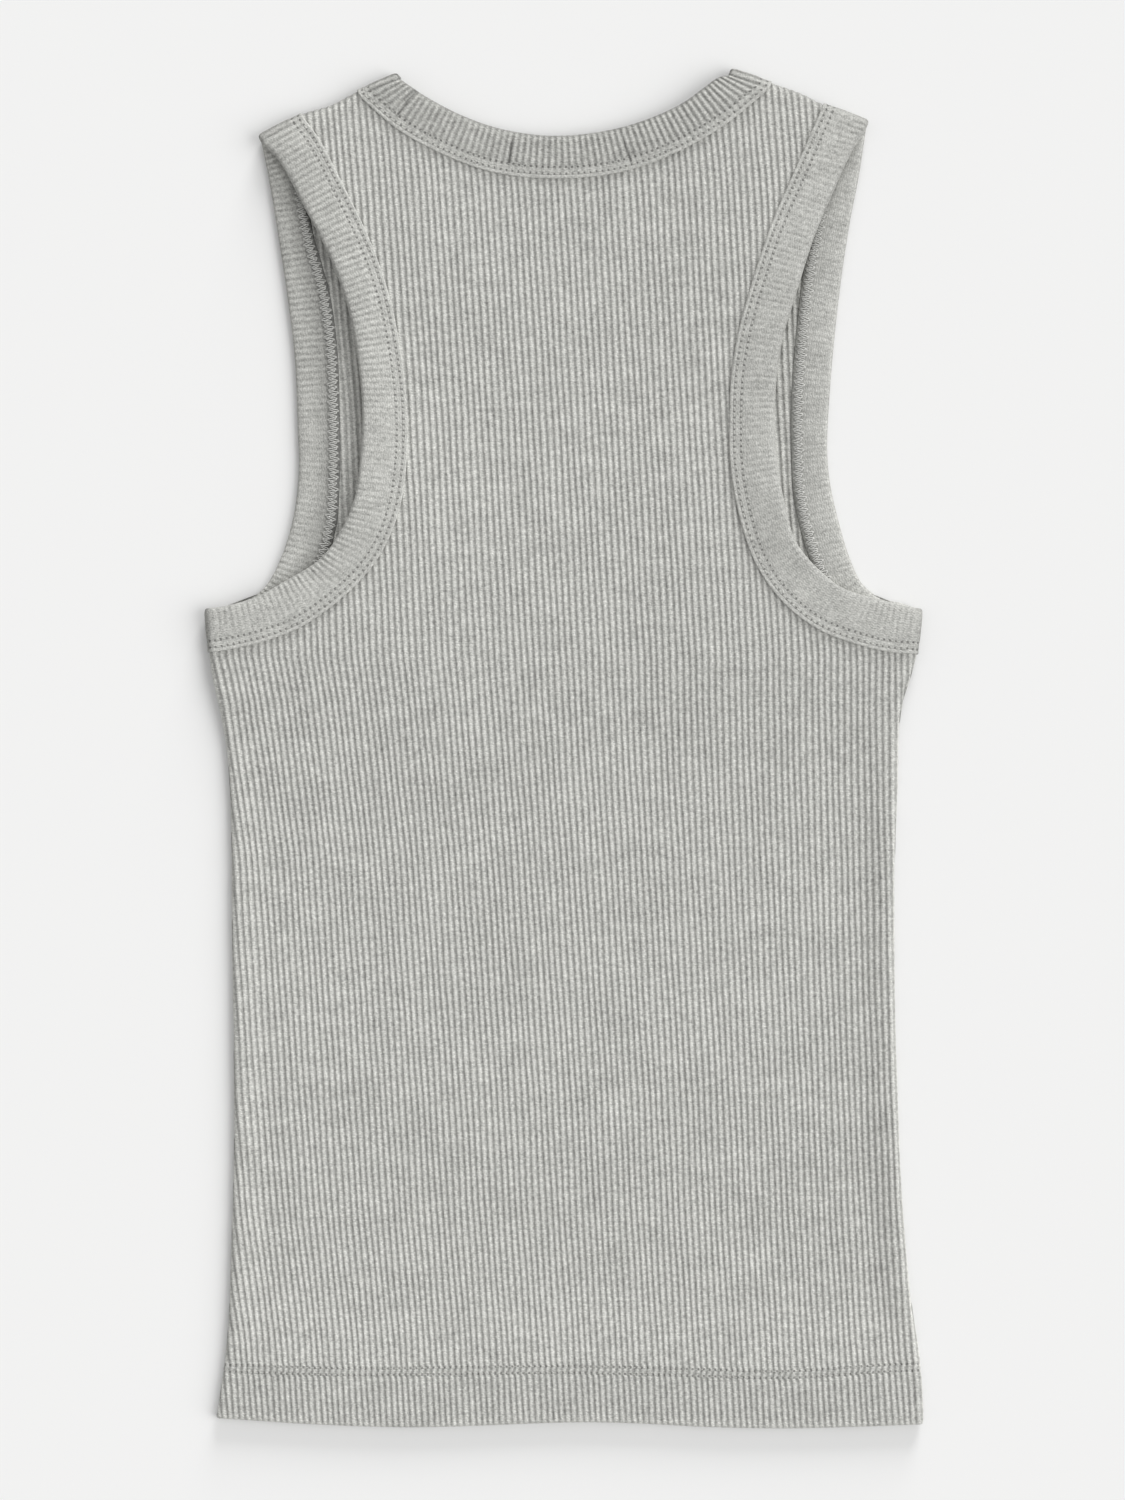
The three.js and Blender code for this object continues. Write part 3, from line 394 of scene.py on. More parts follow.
def side_turn(y):
    """Radius of the side folds at y and the arc of cloth from the fold line to the seam."""
    _, under, _, edge = level(side_x(1, y), y)
    radius = (edge - under) / 2
    return radius, radius * SIDE_SEAM_ANGLE - LAYER_GAP / 2


def shoulder_place(side, x):
    """y of the shoulder fold at x, and the fold's outward direction."""
    line = shoulder_lines[side]
    y = np.interp(x, line[:, 0], line[:, 1])
    slope = np.interp(x, line[:, 0], np.gradient(line[:, 1], line[:, 0]))
    out = np.stack([-slope, np.ones_like(slope)], axis=-1)
    return y, out / np.linalg.norm(out, axis=-1, keepdims=True)


def panel_points(face, x, y, outer_rise, rib_share):
    """Points of both faces of a panel at plan places, rolled round the folds past their lines."""
    sign = 1 if face == "back" else -1
    foot = np.stack([x, y], axis=-1)
    out = np.zeros_like(foot)
    arc = np.zeros_like(x)
    below_armhole = y < SIDE_LEFT[0][1] - PANEL_INSET
    for side in (-1, 1):
        past = (x - side_x(side, y)) * side
        rolled = below_armhole & (past > 0)
        foot[..., 0] = np.where(rolled, side_x(side, y), foot[..., 0])
        out[..., 0] = np.where(rolled, side, out[..., 0])
        arc = np.where(rolled, past, arc)
        shoulder_y, normal = shoulder_place(side, x)
        past = (y - shoulder_y) * normal[..., 1]
        reach = shoulder_lines[side][:, 0]
        rolled = (past > 0) & (x > reach.min()) & (x < reach.max())
        along = np.stack([normal[..., 1], -normal[..., 0]], axis=-1)
        slide = (y - shoulder_y) * along[..., 1]
        place = np.stack([x, shoulder_y], axis=-1) + along * slide[..., None]
        foot = np.where(rolled[..., None], place, foot)
        out = np.where(rolled[..., None], normal, out)
        arc = np.where(rolled, past, arc)
    top, under, wall, edge = level(foot[..., 0], foot[..., 1])
    centre = (edge + under) / 2
    face_height = (top - centre) if face == "back" else (centre - under)
    radius = (edge - under) / 2
    angle = arc / radius
    half = wall / 2
    from_hem = foot[..., 1] - hem_y(foot[..., 0])
    hem_turn = np.clip(1 - from_hem / half, 0, 1)
    fullness = np.sqrt(1 - hem_turn**2)
    rise = outer_rise * fullness
    drop = np.zeros_like(rise)
    if face == "front":
        rise = -INWARD_RIB * (1 - rib_share) * fullness
        drop = INWARD_RIB * rib_share * fullness
    outer = face_height - half + half * fullness + rise
    inner = face_height - half - half * fullness - drop
    hem_push = HEM_SCALLOP * rib_share * hem_turn

    def place_at(height):
        reach = height * np.sin(angle)
        plan = foot + out * reach[..., None]
        z = centre + sign * height * np.cos(angle)
        return np.stack([plan[..., 0], plan[..., 1] - hem_push, z], axis=-1)

    return place_at(outer), place_at(inner)


SHOULDER_SHADE = 0.7  # painted shade: how much darker the cloth is where it turns over the shoulder fold
SHOULDER_SHADE_REACH = (0.2, 2.2)  # from none to all of it, past the fold line


def shoulder_turn(x, y):
    """How far plan places are into the shoulder folds, from 0 to 1."""
    turned = np.zeros_like(x)
    for side in (-1, 1):
        reach = shoulder_lines[side][:, 0]
        inside = (x > reach.min()) & (x < reach.max())
        shoulder_y, _ = shoulder_place(side, x)
        turned = np.where(inside, smooth_rise(y - shoulder_y, *SHOULDER_SHADE_REACH), turned)
    return turned


def limits(face, x, y):
    """The plan places moved back to the panel's edge, and which were beyond it."""
    _, side_arc = side_turn(y)
    bounds = {}
    for side, binding in ((-1, "left"), (1, "right")):
        line = raw_edge(binding, face)
        line = line[np.argsort(line[:, 1])]
        armhole = np.interp(y, line[:, 1], line[:, 0])
        side_edge = side_x(side, y) + side * side_arc
        bounds[side] = np.where(y < line[0, 1], side_edge, armhole)
    held_x = np.clip(x, bounds[-1], bounds[1])
    neck = raw_edge("neck", face)
    neck = neck[np.argsort(neck[:, 0])]
    top_y = np.interp(held_x, neck[:, 0], neck[:, 1])
    turn = SHOULDER_SEAM_ANGLE if face == "back" else math.pi - SHOULDER_SEAM_ANGLE
    for side in (-1, 1):
        shoulder_y, normal = shoulder_place(side, held_x)
        _, under, _, edge = level(held_x, shoulder_y)
        arc = (edge - under) / 2 * turn - LAYER_GAP / 2
        past_neck = held_x < neck[0, 0] if side < 0 else held_x > neck[-1, 0]
        top_y = np.where(past_neck, shoulder_y + arc / normal[..., 1], top_y)
    held_y = np.minimum(y, top_y)
    beyond = (held_x != x) | (held_y != y)
    return held_x, held_y, beyond


def grid_faces(kept, rows, columns):
    """Quads of both faces of a grid's kept cells, and of the rim that joins them."""
    index = np.arange(rows * columns).reshape(rows, columns)
    shift = rows * columns
    i, j = np.nonzero(kept)
    a, b, c, d = index[i, j], index[i, j + 1], index[i + 1, j + 1], index[i + 1, j]
    faces = [np.stack([a, b, c, d], axis=1), np.stack([a, d, c, b], axis=1) + shift]
    padded = np.pad(kept, 1)
    sides = (
        (padded[:-2, 1:-1], a, b),
        (padded[1:-1, 2:], b, c),
        (padded[2:, 1:-1], c, d),
        (padded[1:-1, :-2], d, a),
    )
    for neighbour, start, end in sides:
        open_edge = ~neighbour[i, j]
        start, end = start[open_edge], end[open_edge]
        faces.append(np.stack([start, start + shift, end + shift, end], axis=1))
    return np.vstack(faces)


def hem_rows(x, y):
    """How near plan places are to the hem's upper and lower needle rows, from 0 to 1."""
    from_upper = y - hem_stitch_y(x)
    from_lower = from_upper + SEAM_ROWS[1] - SEAM_ROWS[0]
    return bell(from_upper, HEM_ROW_WIDTH), bell(from_lower, HEM_ROW_WIDTH)


GROOVE_SHADE_LOSS = {"row": 0.25, "hem": 0.7, "shoulder": 0.4}  # share of the grooves' painted shade lost there


def make_panel(face, material):
    count_x, numbers, shares = rib_columns()
    nominal = row_heights(np.array([0.0]))
    x = np.stack([rib_x(count_x, row[0]) for row in nominal])
    y = np.stack([row_heights(line)[i] for i, line in enumerate(x)])
    upper_row, lower_row = hem_rows(x, y)
    x = x + HEM_JOG * (upper_row - lower_row)
    x, y, beyond = limits(face, x, y)
    share = np.broadcast_to(shares, x.shape)
    near_row = upper_row + lower_row
    rise = RIB_HEIGHT * share * (1 - HEM_ROW_FLATTEN * near_row) - HEM_ROW_SINK * near_row
    outer, inner = panel_points(face, x, y, rise, share)
    kept = ~(beyond[:-1, :-1] & beyond[1:, :-1] & beyond[:-1, 1:] & beyond[1:, 1:])
    points = np.concatenate([outer.reshape(-1, 3), inner.reshape(-1, 3)])
    rib_uv = np.stack([np.broadcast_to(numbers, x.shape), y / UV_UNIT], axis=-1).reshape(-1, 2)
    from_edge = SEAM_ROWS[0] + hem_stitch_y(x) - y
    seam_uv = np.stack([x / STITCH_LENGTH, from_edge / UV_UNIT], axis=-1).reshape(-1, 2)
    near_hem = 1 - smooth_rise(y - hem_y(x), 0, HEM_FADE)
    near_shoulder = shoulder_turn(x, y)
    # Painted shade in the grooves, weaker near the needle rows, the hem's fold and the shoulder folds
    groove_shade_strength = 1 - GROOVE_SHADE_LOSS["row"] * near_row
    groove_shade_strength = groove_shade_strength * (1 - GROOVE_SHADE_LOSS["hem"] * near_hem)
    groove_shade_strength = groove_shade_strength * (1 - GROOVE_SHADE_LOSS["shoulder"] * near_shoulder)
    # Painted shade where the cloth turns over the shoulder fold
    crease_and_painted_shade = SHOULDER_SHADE * near_shoulder
    layers = {"rib": np.tile(rib_uv, (2, 1)), "seam": np.tile(seam_uv, (2, 1))}
    values = {"groove_shade_strength": np.tile(groove_shade_strength.ravel(), 2), "crease_and_painted_shade": np.tile(crease_and_painted_shade.ravel(), 2)}
    return add_mesh(f"{face}_cloth", points, grid_faces(kept, *x.shape), layers, values, material)


# Binding rings

RING_STEPS = np.linspace(0, 4, 1601)  # of g, at which the way round a ring is measured


class Ring:
    """A binding that runs along the back, round a fold, along the front and round the other fold.

    g runs 0 to 1 along the back, 1 to 2 round the fold at its end, 2 to 3 along the front, and 3 to 4
    round the fold at the back's start.
    """

    def __init__(self, name):
        self.back, self.front = BINDINGS[name]
        half_width = self.at(RING_STEPS)["width"] / 2
        middle = self.points(RING_STEPS, half_width, BINDING_OUTSIDE + 0 * RING_STEPS)
        steps = np.linalg.norm(np.diff(middle, axis=0), axis=1)
        self.travelled = np.concatenate([[0], np.cumsum(steps)])
        self.length = self.travelled[-1]
        self.ribs = round(self.length / RIB_PITCH)

    def g_at(self, distance):
        return np.interp(distance, self.travelled, RING_STEPS)

    def at(self, g):
        """Stations at g: the folded edge, the direction across, the width, and the turn over a fold."""
        g = np.asarray(g, float)
        back_t = np.select([g <= 1, g < 3], [g, 1.0], 0.0)
        on_front = (g >= 2) & (g <= 3)
        edge, across, width = stretch_at(self.back, back_t)
        front_edge, front_across, front_width = stretch_at(self.front, np.clip(g - 2, 0, 1))
        edge = np.where(on_front[..., None], front_edge, edge)
        across = np.where(on_front[..., None], front_across, across)
        width = np.where(on_front, front_width, width)
        out = np.stack([-across[..., 1], across[..., 0]], axis=-1)
        outward = np.sum(out * edge, axis=-1, keepdims=True)
        out = np.where(outward < 0, -out, out)
        turns = [0.0, (g - 1) * math.pi, math.pi]
        angle = np.select([g <= 1, g < 2, g <= 3], turns, (4 - g) * math.pi)
        on_fold = ((g > 1) & (g < 2)) | (g > 3)
        return {
            "edge": edge,
            "across": across,
            "width": width,
            "out": out,
            "angle": angle,
            "on_fold": on_fold,
        }

    def points(self, g, w, n):
        """Points at g, w in from the folded edge and n out from the middle of the panel's cloth."""
        place = self.at(g)
        base = place["edge"] + place["across"] * w[..., None]
        top, under, _, _ = level(base[..., 0], base[..., 1])
        back_middle = top - PANEL_WALL / 2
        front_middle = under + PANEL_WALL / 2
        centre = (back_middle + front_middle) / 2
        radius = (back_middle - front_middle) / 2 + n
        reach = np.where(place["on_fold"], radius * np.sin(place["angle"]), 0)
        plan = base + place["out"] * reach[..., None]
        z = centre + radius * np.cos(place["angle"])
        return np.concatenate([plan, z[..., None]], axis=-1)

    def back_share(self, g):
        return (1 + np.cos(self.at(g)["angle"])) / 2


# The U section's corners: w from the folded edge or e from the stitched edge, then n and the share
# of the ribs' height there
Corner = namedtuple("Corner", "e w n rib")
SECTION = [
    Corner(0.1, None, 0.8, 0.0),
    Corner(-0.1, None, 1.05, 0.0),
    Corner(0.02, None, 1.32, 0.0),
    Corner(0.3, None, 1.46, 0.05),
    Corner(0.8, None, 1.48, 0.1),
    Corner(1.35, None, 1.42, 0.15),
    Corner(2.1, None, 1.31, 0.25),
    Corner(2.8, None, 1.37, 0.3),
    Corner(3.7, None, 1.40, 0.35),
    Corner(4.6, None, 1.40, 0.45),
    Corner(5.3, None, 1.38, 0.6),
    Corner(5.9, None, 1.46, 0.8),
    Corner(6.8, None, 1.56, 0.95),
    Corner(8.5, None, 1.66, 1.0),
    Corner(11.5, None, 1.72, 1.0),
    Corner(None, 5.5, 1.74, 1.0),
    Corner(None, 3.2, 1.72, 1.0),
    Corner(None, 1.7, 1.62, 0.9),
    Corner(None, 0.75, 1.33, 0.6),
    Corner(None, 0.2, 0.75, 0.4),
    Corner(None, 0.0, 0.0, 0.3),
    Corner(None, 0.2, -0.75, 0.4),
    Corner(None, 0.75, -1.35, 0.7),
    Corner(None, 1.9, -1.78, 1.0),
    Corner(None, 5.5, -1.8, 1.0),
    Corner(7.0, None, -1.8, 1.0),
    Corner(4.0, None, -1.8, 0.8),
    Corner(1.6, None, -1.8, 0.4),
    Corner(1.0, None, -1.6, 0.2),
    Corner(0.6, None, -1.3, 0.0),
    Corner(0.4, None, -0.85, 0.0),
    Corner(8.0, None, -0.8, 0.0),
    Corner(None, 1.1, -0.8, 0.0),
    Corner(None, 1.1, 0.8, 0.0),
    Corner(8.0, None, 0.8, 0.0),
]
NO_SEAM = 9.0  # a distance from the stitched edge at which nothing is sewn

# How strongly a binding's ribs show where it lies straight, and how much more where its folded edge
# is drawn in round a curve
RIB_STRENGTH = {"neck": 0.74, "left": 0.72, "right": 0.24}
GROOVE_SHADE_CONTRAST = {"neck": 1.15, "left": 0.7, "right": 0.5}  # strength of the painted shade in their grooves
GATHER_GAIN = {"neck": 0.5, "left": 2.6, "right": 1.8}
GATHER_REACH = 7.0
GATHER_MEASURE = 0.02  # of g, over which the distance between ribs is measured
EVEN_SHARE = 0.75  # of the binding's width, in from the folded edge, where the ribs aren't drawn in
STRENGTH_LIMITS = (0.2, 1.2)
UNEVEN_RIBS = ((0.4, 1.9), (0.25, 0.7))  # of the gathers: share, and radians from rib to rib
RIB_FADE = {"neck": 0.0, "left": 0.7, "right": 0.0}  # share of the ribs lost low on the binding
RIB_FADE_Y = (150, 215)
BELOW_PANEL = -0.82  # n of the inner layer's face towards the panel
FOLD_SHADE = {"neck": 0.7, "left": 0.3, "right": 0.3}  # painted shade: how much darker the folded edge is
FOLD_SHADE_N = 1.34  # up to this far from the middle of the cloth
TURN_SHADE = 0.65  # painted shade: how much darker a binding is where it turns over a shoulder or side fold
RAW_EDGE_SHADE = {"neck": 0.0, "left": 1.05, "right": 0.5}  # painted shade of the inner edge, under the looper
RAW_EDGE_REACH = 7.5
# Most painted shade that a point may take
SHADE_LIMIT = 1.2

# Creases across the bindings, from plan point to plan point: the band's join and the marks of
# stitches that come through from inside
# Each crease is sunk into the cloth and also painted darker as shade
CREASES = {
    "neck": [((-70, 315.1), (-79.1, 303.1)), ((-24.6, 290), (-25.8, 280.1)), ((29.4, 289.7), (32.7, 281))],
    "left": [],
    "right": [],
}
CREASE_WIDTH = 0.5
CREASE_DEPTH = 0.5


def rail_w(corner, width):
    return corner.w + 0 * width if corner.e is None else width - corner.e


def rail_height(ring, corner, g, share, strength):
    """n of a corner of the section at stations g, where the ribs stand at share of their height."""
    back = ring.back_share(g)
    if corner.n > 0:
        raised = RIB_HEIGHT * corner.rib * strength * share
        cut = INWARD_RIB * corner.rib * strength * (1 - share)
        return corner.n + back * (RIB_HEIGHT + raised) - (1 - back) * cut
    if corner.n < 0:
        return corner.n + INWARD_RIB * corner.rib * strength * (1 - share)
    return corner.n + 0 * g


def rib_strength(name, ring, g, w, uneven):
    """How strongly the ribs show at g and w, from how much closer together they lie there."""

    def measured(inset):
        outside = BINDING_OUTSIDE + 0 * inset
        ahead = ring.points(g + GATHER_MEASURE, inset, outside)
        behind = ring.points(g - GATHER_MEASURE, inset, outside)
        return ahead, np.linalg.norm(ahead - behind, axis=-1)

    ahead, spacing = measured(w)
    _, even_spacing = measured(ring.at(g)["width"] * EVEN_SHARE)
    drawn_in = np.maximum(1 - spacing / even_spacing, 0) * bell(w, GATHER_REACH)
    kept = 1 - RIB_FADE[name] * (1 - smooth_rise(ahead[:, 1], *RIB_FADE_Y))
    strength = RIB_STRENGTH[name] * kept + GATHER_GAIN[name] * drawn_in * uneven
    return np.clip(strength, *STRENGTH_LIMITS)


def crease_at(name, points):
    """How deep in a crease each point of a binding lies, seen from above, from 0 to 1."""
    found = np.zeros(len(points))
    for start, end in CREASES[name]:
        start, end = np.array(start, float), np.array(end, float)
        along = end - start
        t = np.clip((points[:, :2] - start) @ along / (along @ along), 0, 1)
        distance = np.linalg.norm(points[:, :2] - start - t[:, None] * along, axis=1)
        found = np.maximum(found, bell(distance, CREASE_WIDTH))
    return found


def make_ring(name, piece_name, material):
    ring = Ring(name)
    numbers = np.array([k + f for k in range(ring.ribs) for f in RIB_FRACTIONS])
    shares = np.array(list(RIB_SHAPE) * ring.ribs)
    along = numbers / ring.ribs * ring.length
    g = ring.g_at(along)
    width = ring.at(g)["width"]
    nearest = np.floor(numbers + 0.5)
    uneven = 1 + sum(share * np.sin(turn * nearest) for share, turn in UNEVEN_RIBS)
    # Painted shade where the binding turns over a fold
    turn_shade = TURN_SHADE * np.sin(ring.at(g)["angle"])
    rails, rib_uv, seam_uv, groove_shade_strengths, painted_shades = [], [], [], [], []
    for corner in SECTION:
        w = rail_w(corner, width)
        strength = rib_strength(name, ring, g, w, uneven)
        height = rail_height(ring, corner, g, shares, strength)
        crease_and_painted_shade = crease_at(name, ring.points(g, w, height)) * (corner.n > 0)
        rails.append(ring.points(g, w, height - CREASE_DEPTH * crease_and_painted_shade))
        # Painted shade of the inner raw edge under the looper, of the folded edge, of the turns and of the
        # creases
        raw_shade = RAW_EDGE_SHADE[name] * bell(width - w, RAW_EDGE_REACH) * (corner.n < BELOW_PANEL)
        fold_shade = FOLD_SHADE[name] * (abs(corner.n) < FOLD_SHADE_N) * (corner.e is None)
        painted_shades.append(np.clip(crease_and_painted_shade + raw_shade + fold_shade + turn_shade, 0, SHADE_LIMIT))
        from_edge = width - w if corner.n > 0 else NO_SEAM + 0 * w
        rib_uv.append(np.stack([numbers, np.sign(corner.n) * w / UV_UNIT], axis=-1))
        seam_uv.append(np.stack([along / STITCH_LENGTH, from_edge / UV_UNIT], axis=-1))
        # Strength of the painted shade in the grooves
        groove_shade_strengths.append(corner.rib * strength * GROOVE_SHADE_CONTRAST[name])
    points = np.stack(rails)
    corners, stations = points.shape[:2]
    index = np.arange(corners * stations).reshape(corners, stations)
    across = np.roll(index, -1, axis=0)
    next_index = np.roll(index, -1, axis=1)
    next_across = np.roll(across, -1, axis=1)
    faces = np.stack([index, next_index, next_across, across], axis=-1)
    layers = {"rib": np.stack(rib_uv).reshape(-1, 2), "seam": np.stack(seam_uv).reshape(-1, 2)}
    values = {"groove_shade_strength": np.stack(groove_shade_strengths).ravel(), "crease_and_painted_shade": np.stack(painted_shades).ravel()}
    piece = add_mesh(piece_name, points.reshape(-1, 3), faces.reshape(-1, 4), layers, values, material)
    return ring, piece


# Thread

END_TAPER = 0.55  # share of a thread's radius at its ends


def tubes(name, paths, radius, material, sides=6):
    """One mesh of thread lengths, each an equal number of plan points, tapered at its ends."""
    paths = np.asarray(paths, float)
    count, steps = paths.shape[:2]
    tangent = np.gradient(paths, axis=1)
    tangent /= np.linalg.norm(tangent, axis=-1, keepdims=True)
    side = np.cross(tangent, [0.0, 0.0, 1.0])
    side /= np.maximum(np.linalg.norm(side, axis=-1, keepdims=True), 1e-9)
    up = np.cross(side, tangent)
    turn = np.arange(sides) / sides * 2 * math.pi
    taper = np.ones(steps)
    taper[0] = taper[-1] = END_TAPER
    ring = side[:, :, None] * np.cos(turn)[:, None] + up[:, :, None] * np.sin(turn)[:, None]
    points = paths[:, :, None] + ring * radius * taper[:, None, None]
    index = np.arange(count * steps * sides).reshape(count, steps, sides)
    a = index[:, :-1]
    b = np.roll(a, -1, axis=-1)
    d = index[:, 1:]
    c = np.roll(d, -1, axis=-1)
    faces = np.stack([a, b, c, d], axis=-1).reshape(-1, 4).tolist()
    faces += index[:, 0, ::-1].tolist()
    faces += index[:, -1].tolist()
    return add_mesh(name, points.reshape(-1, 3), faces, {}, {}, material)


THREAD_RADIUS = 0.17
SEAM_N = 1.32  # n of the binding's face at its needle rows, without the ribs' height
THREAD_GAP = 0.02
HEM_THREAD_LIFT = 0.12
HEM_STITCHES_EACH_WAY = 59
# One stitch: share of its length, and height over the cloth
STITCH_SHAPE = ((0.04, -0.34), (0.16, -0.02), (0.4, 0.16), (0.65, 0.16), (0.88, -0.02), (1.0, -0.34))
STITCH_SHARES, STITCH_RISES = np.array(STITCH_SHAPE).T


def ring_stitches(ring):
    """Needle stitches along the back's side of a binding, as paths."""
    paths = []
    end = ring.travelled[np.searchsorted(RING_STEPS, 1.0)]
    for row in SEAM_ROWS:
        for number in range(int(end / STITCH_LENGTH)):
            g = ring.g_at((number + STITCH_SHARES) * STITCH_LENGTH)
            width = ring.at(g)["width"]
            n = SEAM_N + RIB_HEIGHT + THREAD_GAP + STITCH_RISES
            paths.append(ring.points(g, width - row, n))
    return paths


def hem_stitches():
    """Needle stitches of the hem's two rows on the back, as paths."""
    paths = []
    for row in (0, SEAM_ROWS[1] - SEAM_ROWS[0]):
        for number in range(-HEM_STITCHES_EACH_WAY, HEM_STITCHES_EACH_WAY + 1):
            x = (number + STITCH_SHARES) * STITCH_LENGTH
            y = hem_stitch_y(x) - row
            top, _, _, _ = level(x, y)
            paths.append(np.stack([x, y, top + HEM_THREAD_LIFT + STITCH_RISES], axis=-1))
    return paths


LOOPER_RADIUS = 0.3
LOOPER_PITCH = 2.8
LOOPER_POINTS = 10  # of a path, for each turn
LOOPER_STRANDS = ((0.0, 2.5), (0.3, 1.6))  # where in a turn each starts, and how far it swings
LOOPER_MIDDLE = 2.6  # middle of the swing, in from the raw edge
LOOPER_VARIES = 0.2  # share of the swing that varies
LOOPER_VARIES_PACE = 0.37  # in turns of the thread
LOOPER_HEIGHT = 0.3  # over the cloth
LOOPER_WAVE = 0.15  # and how far it rises and falls there
LOOPER_SPAN = (2.02, 2.98)  # of g, on the front
RAW_EDGE_TUCK = 1.0  # the inner layer ends this much short of the stitched edge
PANEL_FACE_N = -0.75  # n of the panel's face beside the raw edge
LAYER_STEP = 1.1  # from there down to the binding's own inner face
LAYER_STEP_REACH = (-0.7, 0.6)  # over this stretch, in from the raw edge


def looper_paths(ring):
    """Looper thread to and fro over the inner raw edge of a binding's front, as strands."""
    start, end = np.interp(LOOPER_SPAN, RING_STEPS, ring.travelled)
    turns = int((end - start) / LOOPER_PITCH)
    along = start + np.arange(turns * LOOPER_POINTS) / LOOPER_POINTS * LOOPER_PITCH
    g = ring.g_at(along)
    width = ring.at(g)["width"]
    paths = []
    for strand, (start_turn, swing_width) in enumerate(LOOPER_STRANDS):
        turn = 2 * math.pi * (along / LOOPER_PITCH + start_turn)
        swing = np.sin(turn) + LOOPER_VARIES * np.sin(LOOPER_VARIES_PACE * turn + strand)
        from_raw = LOOPER_MIDDLE + swing_width * swing
        lift = LOOPER_HEIGHT + LOOPER_WAVE * np.cos(2 * turn)
        n = PANEL_FACE_N - LAYER_STEP * smooth_rise(from_raw, *LAYER_STEP_REACH) - lift
        paths.append(ring.points(g, width - RAW_EDGE_TUCK - from_raw, n))
    return paths


# Materials


class Nodes:
    """Short calls for a material's nodes."""

    def __init__(self, name):
        self.material = bpy.data.materials.new(name)
        self.material.use_nodes = True
        self.tree = self.material.node_tree
        self.shader = self.tree.nodes["Principled BSDF"]

    def node(self, kind, **settings):
        made = self.tree.nodes.new(kind)
        for key, value in settings.items():
            setattr(made, key, value)
        return made

    def link(self, source, target):
        self.tree.links.new(source, target)

    def put(self, socket, value):
        if isinstance(value, bpy.types.NodeSocket):
            self.link(value, socket)
        else:
            socket.default_value = value

    def math(self, operation, *values):
        made = self.node("ShaderNodeMath", operation=operation)
        for socket, value in zip(made.inputs, values):
            self.put(socket, value)
        return made.outputs[0]

    def mix(self, share, first, second):
        made = self.node("ShaderNodeMix", data_type="RGBA")
        self.put(made.inputs[0], share)
        self.put(made.inputs[6], first)
        self.put(made.inputs[7], second)
        return made.outputs[2]

    def add(self, first, second):
        return self.math("ADD", first, second)

    def subtract(self, first, second):
        return self.math("SUBTRACT", first, second)

    def multiply(self, first, second):
        return self.math("MULTIPLY", first, second)

    def uv(self, layer):
        """The two coordinates of a uv layer."""
        split = self.node("ShaderNodeSeparateXYZ")
        self.link(self.node("ShaderNodeUVMap", uv_map=layer).outputs[0], split.inputs[0])
        return split.outputs[0], split.outputs[1]

    def point_value(self, name):
        return self.node("ShaderNodeAttribute", attribute_name=name).outputs["Fac"]

    def noise(self, place, grain):
        if grain.across != 1:
            mapping = self.node("ShaderNodeMapping")
            self.link(place, mapping.inputs["Vector"])
            mapping.inputs["Scale"].default_value = (grain.across, 1.0, 1.0)
            place = mapping.outputs[0]
        made = self.node("ShaderNodeTexNoise")
        self.link(place, made.inputs["Vector"])
        made.inputs["Scale"].default_value = grain.scale
        made.inputs["Detail"].default_value = grain.detail
        made.inputs["Roughness"].default_value = grain.rough
        return made.outputs[0]

    def smooth(self, value, low, high):
        made = self.node("ShaderNodeMapRange", interpolation_type="SMOOTHSTEP")
        self.put(made.inputs[0], value)
        made.inputs[1].default_value = low
        made.inputs[2].default_value = high
        return made.outputs[0]


    def fade(self, value, low, high):
        """1 up to low, and 0 from high on."""
        return self.subtract(1.0, self.smooth(value, low, high))

    def bump(self, height, strength, distance):
        made = self.node("ShaderNodeBump")
        made.inputs["Strength"].default_value = strength
        made.inputs["Distance"].default_value = distance
        self.link(height, made.inputs["Height"])
        self.link(made.outputs[0], self.shader.inputs["Normal"])


# Noises of the cloth: scale in a metre, detail, roughness, and the scale's share across the ribs
Grain = namedtuple("Grain", "scale detail rough across")
GRAINS = {
    "fibre": Grain(1100, 3.0, 0.7, 1.0),
    "fleck": Grain(620, 3.0, 0.7, 0.8),
    "patch": Grain(150, 3.0, 0.6, 0.5),
    "cloud": Grain(22, 2.0, 0.5, 1.0),
}
GRAIN_TONES = {"fibre": 1.3, "fleck": -0.9, "patch": 0.42, "cloud": 0.12}  # how far each moves the tone
THREAD_TWIST = Grain(2600, 2.0, 0.6, 1.0)
THREAD_TWIST_RANGE = (0.3, 0.75)  # of its noise, from the dark side to the light

GROOVE_EDGE = 0.44  # where a groove's painted shade is full, from the crest, in rib pitches
GROOVE_BITE = (0.4, 1.2)  # share of the grooves' painted shade without flecks, and what flecks add
HOLE_RADII = (0.3, 0.8)  # a needle hole fades out from the first to the second
HOLE_RAGGEDNESS = 1.5
# Painted shade in the needle holes, which the mesh doesn't have
HOLE_SHADE = 0.55
# Painted shade from the point values: creases, folded edges, turns over folds and the inner raw edge
PAINTED_SHADE = 0.6
RIM_REACH = (0.85, 1.35)  # the rolled rim's painted highlight fades out from the first to the second
# Painted highlight on the rolled rim
RIM_PAINTED_HIGHLIGHT = 0.04
LOOP_RELIEF = 0.04  # of the knit's stitches, in tone and in height
FIBRE_RELIEF = 0.3
GROOVE_RELIEF = 0.3
HOLE_RELIEF = 0.35


